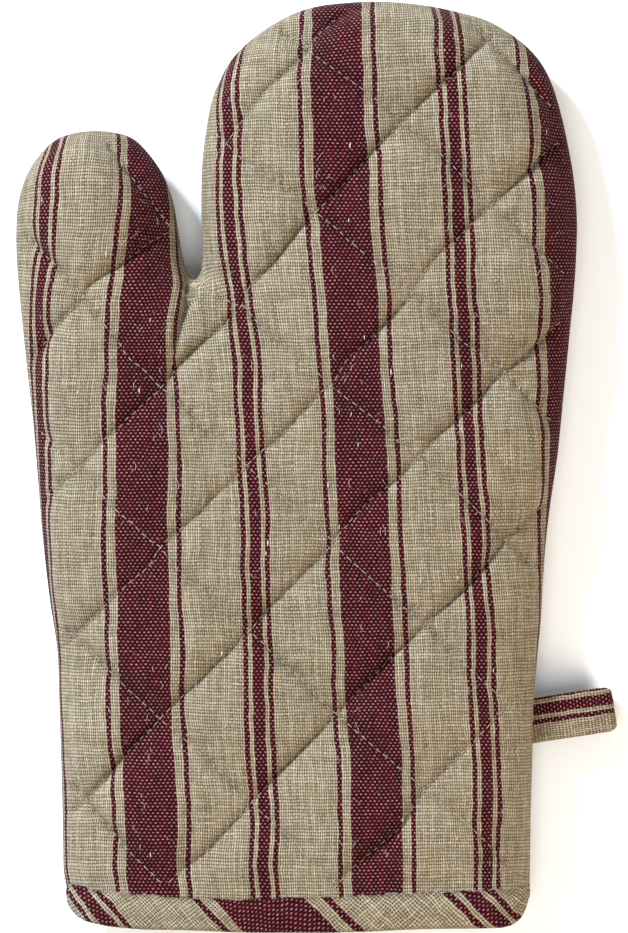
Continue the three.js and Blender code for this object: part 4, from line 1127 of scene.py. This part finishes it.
# ---------------------------------------------------------------- neps and loose fibres of the homespun
def lint():
    rnd = np.random.RandomState(17)
    n = 420
    at = np.column_stack([rnd.uniform(-92, 84, n * 2), rnd.uniform(-132, 150, n * 2)])
    at = at[inside(at, LONG_THIN)]
    d, _, _ = nearest(at, LONG_THIN)
    at = at[d > 5][:n]
    kinds = rnd.rand(len(at))
    neps = np.array([(-57.5, 24.9), (-68.4, 69.7), (11.5, 105.2), (4.3, -6.0), (-15.4, -25.0), (24.9, 31.0), (-30.5, -61.0)])
    at = np.vstack([neps, at])
    kinds = np.concatenate([np.full(len(neps), -1.0), kinds])
    r = evaluate(at, 1)
    reg = region_of(at)
    groups = {0: ([], []), 1: ([], []), 2: ([], [])}
    for i in range(len(at)):
        V, F = groups[int(reg[i])]
        nrm = r["n"][i]
        t1 = np.cross(nrm, (0, 1, 0)); t1 /= np.linalg.norm(t1)
        t2 = np.cross(nrm, t1)
        c0 = r["p"][i] + nrm * 0.12
        turn = rnd.uniform(0, 2 * math.pi)
        if kinds[i] < 0.05:                                   # a nep: a small knot of fibre drawn out along the thread
            ln, w = (rnd.uniform(0.5, 0.8), 0.26) if kinds[i] < 0 else (rnd.uniform(0.3, 0.6), 0.18)
            pts = [c0 + t2 * ln * q for q in (-1.6, -0.8, 0, 0.8, 1.6)]
            rad = [0.03, w * 0.7, w, w * 0.6, 0.03]
        else:                                                 # a short loose fibre
            ln, bend = rnd.uniform(0.7, 2.2), rnd.uniform(-0.6, 0.6)
            pts, rad = [], []
            for q in np.linspace(-1, 1, 5):
                ang = turn + bend * q
                pts.append(c0 + (t1 * math.cos(ang) + t2 * math.sin(ang)) * ln * q + nrm * 0.12 * (1 - q * q))
                rad.append(0.035 if abs(q) > 0.9 else 0.055)
        base = len(V)
        for p_, rr in zip(pts, rad):
            for k in range(4):
                a_ = 2 * math.pi * k / 4 + 0.4
                V.append(p_ + (t1 * math.cos(a_) + nrm * math.sin(a_)) * rr)
        for s in range(4):
            for k in range(4):
                F.append((base + s * 4 + k, base + s * 4 + (k + 1) % 4, base + (s + 1) * 4 + (k + 1) % 4, base + (s + 1) * 4 + k))
        F.append((base + 3, base + 2, base + 1, base))
        F.append((base + 16, base + 17, base + 18, base + 19))
    for k, (V, F) in groups.items():
        if V:
            o = make(f"loose_fibres_{REGIONS[k]}", np.array(V), F, None, LINT)
            settle(o, k)


LINT = thread_material("cotton_lint", (0.62, 0.58, 0.54))
lint()

# ---------------------------------------------------------------- stage, light and camera
def plain_material(name, color, rough):
    m = bpy.data.materials.new(name)
    m.use_nodes = True
    b = m.node_tree.nodes["Principled BSDF"]
    b.inputs["Base Color"].default_value = (*color, 1)
    b.inputs["Roughness"].default_value = rough
    b.inputs["Specular IOR Level"].default_value = 0.1
    return m


me = bpy.data.meshes.new("floor")
me.from_pydata([(-3, -3, -0.0004), (3, -3, -0.0004), (3, 3, -0.0004), (-3, 3, -0.0004)], [], [(0, 1, 2, 3)])
floor = bpy.data.objects.new("floor", me)
bpy.context.scene.collection.objects.link(floor)
me.materials.append(plain_material("pale_floor", (0.935, 0.955, 0.985), 0.9))

world = bpy.data.worlds.new("studio")
bpy.context.scene.world = world
world.use_nodes = True
world.node_tree.nodes["Background"].inputs[0].default_value = (1.0, 0.99, 0.98, 1)
world.node_tree.nodes["Background"].inputs[1].default_value = 0.52


def area_light(name, location, size, power, color, target=(0, 0, 0.01)):
    l = bpy.data.lights.new(name, "AREA")
    l.shape, l.size, l.energy, l.color = "SQUARE", size, power, color
    o = bpy.data.objects.new(name, l)
    o.location = location
    o.rotation_euler = (Vector(target) - Vector(location)).to_track_quat("-Z", "Y").to_euler()
    bpy.context.scene.collection.objects.link(o)
    return o


area_light("key", (-1.85, 1.98, 1.72), 0.62, 262.0, (0.78, 0.89, 1.0))
area_light("fill", (0.9, -0.75, 0.5), 0.6, 11.0, (1.0, 0.81, 0.54))
area_light("top", (0.05, -0.6, 1.25), 0.8, 8.0, (1.0, 0.98, 0.95))

cam = bpy.data.cameras.new("camera")
cam.sensor_width = 36.0
DIST = 4.0
cam.lens = 36.0 * DIST / 0.3069
cam.clip_end = 20
camera = bpy.data.objects.new("camera", cam)
camera.location = (-0.00029, 0.00013, 0.012 + DIST)
camera.rotation_euler = (0, 0, 0)
bpy.context.scene.collection.objects.link(camera)
bpy.context.scene.camera = camera
bpy.context.scene.view_settings.view_transform = "Standard"
bpy.context.scene.view_settings.look = "None"

bpy.context.view_layer.update()
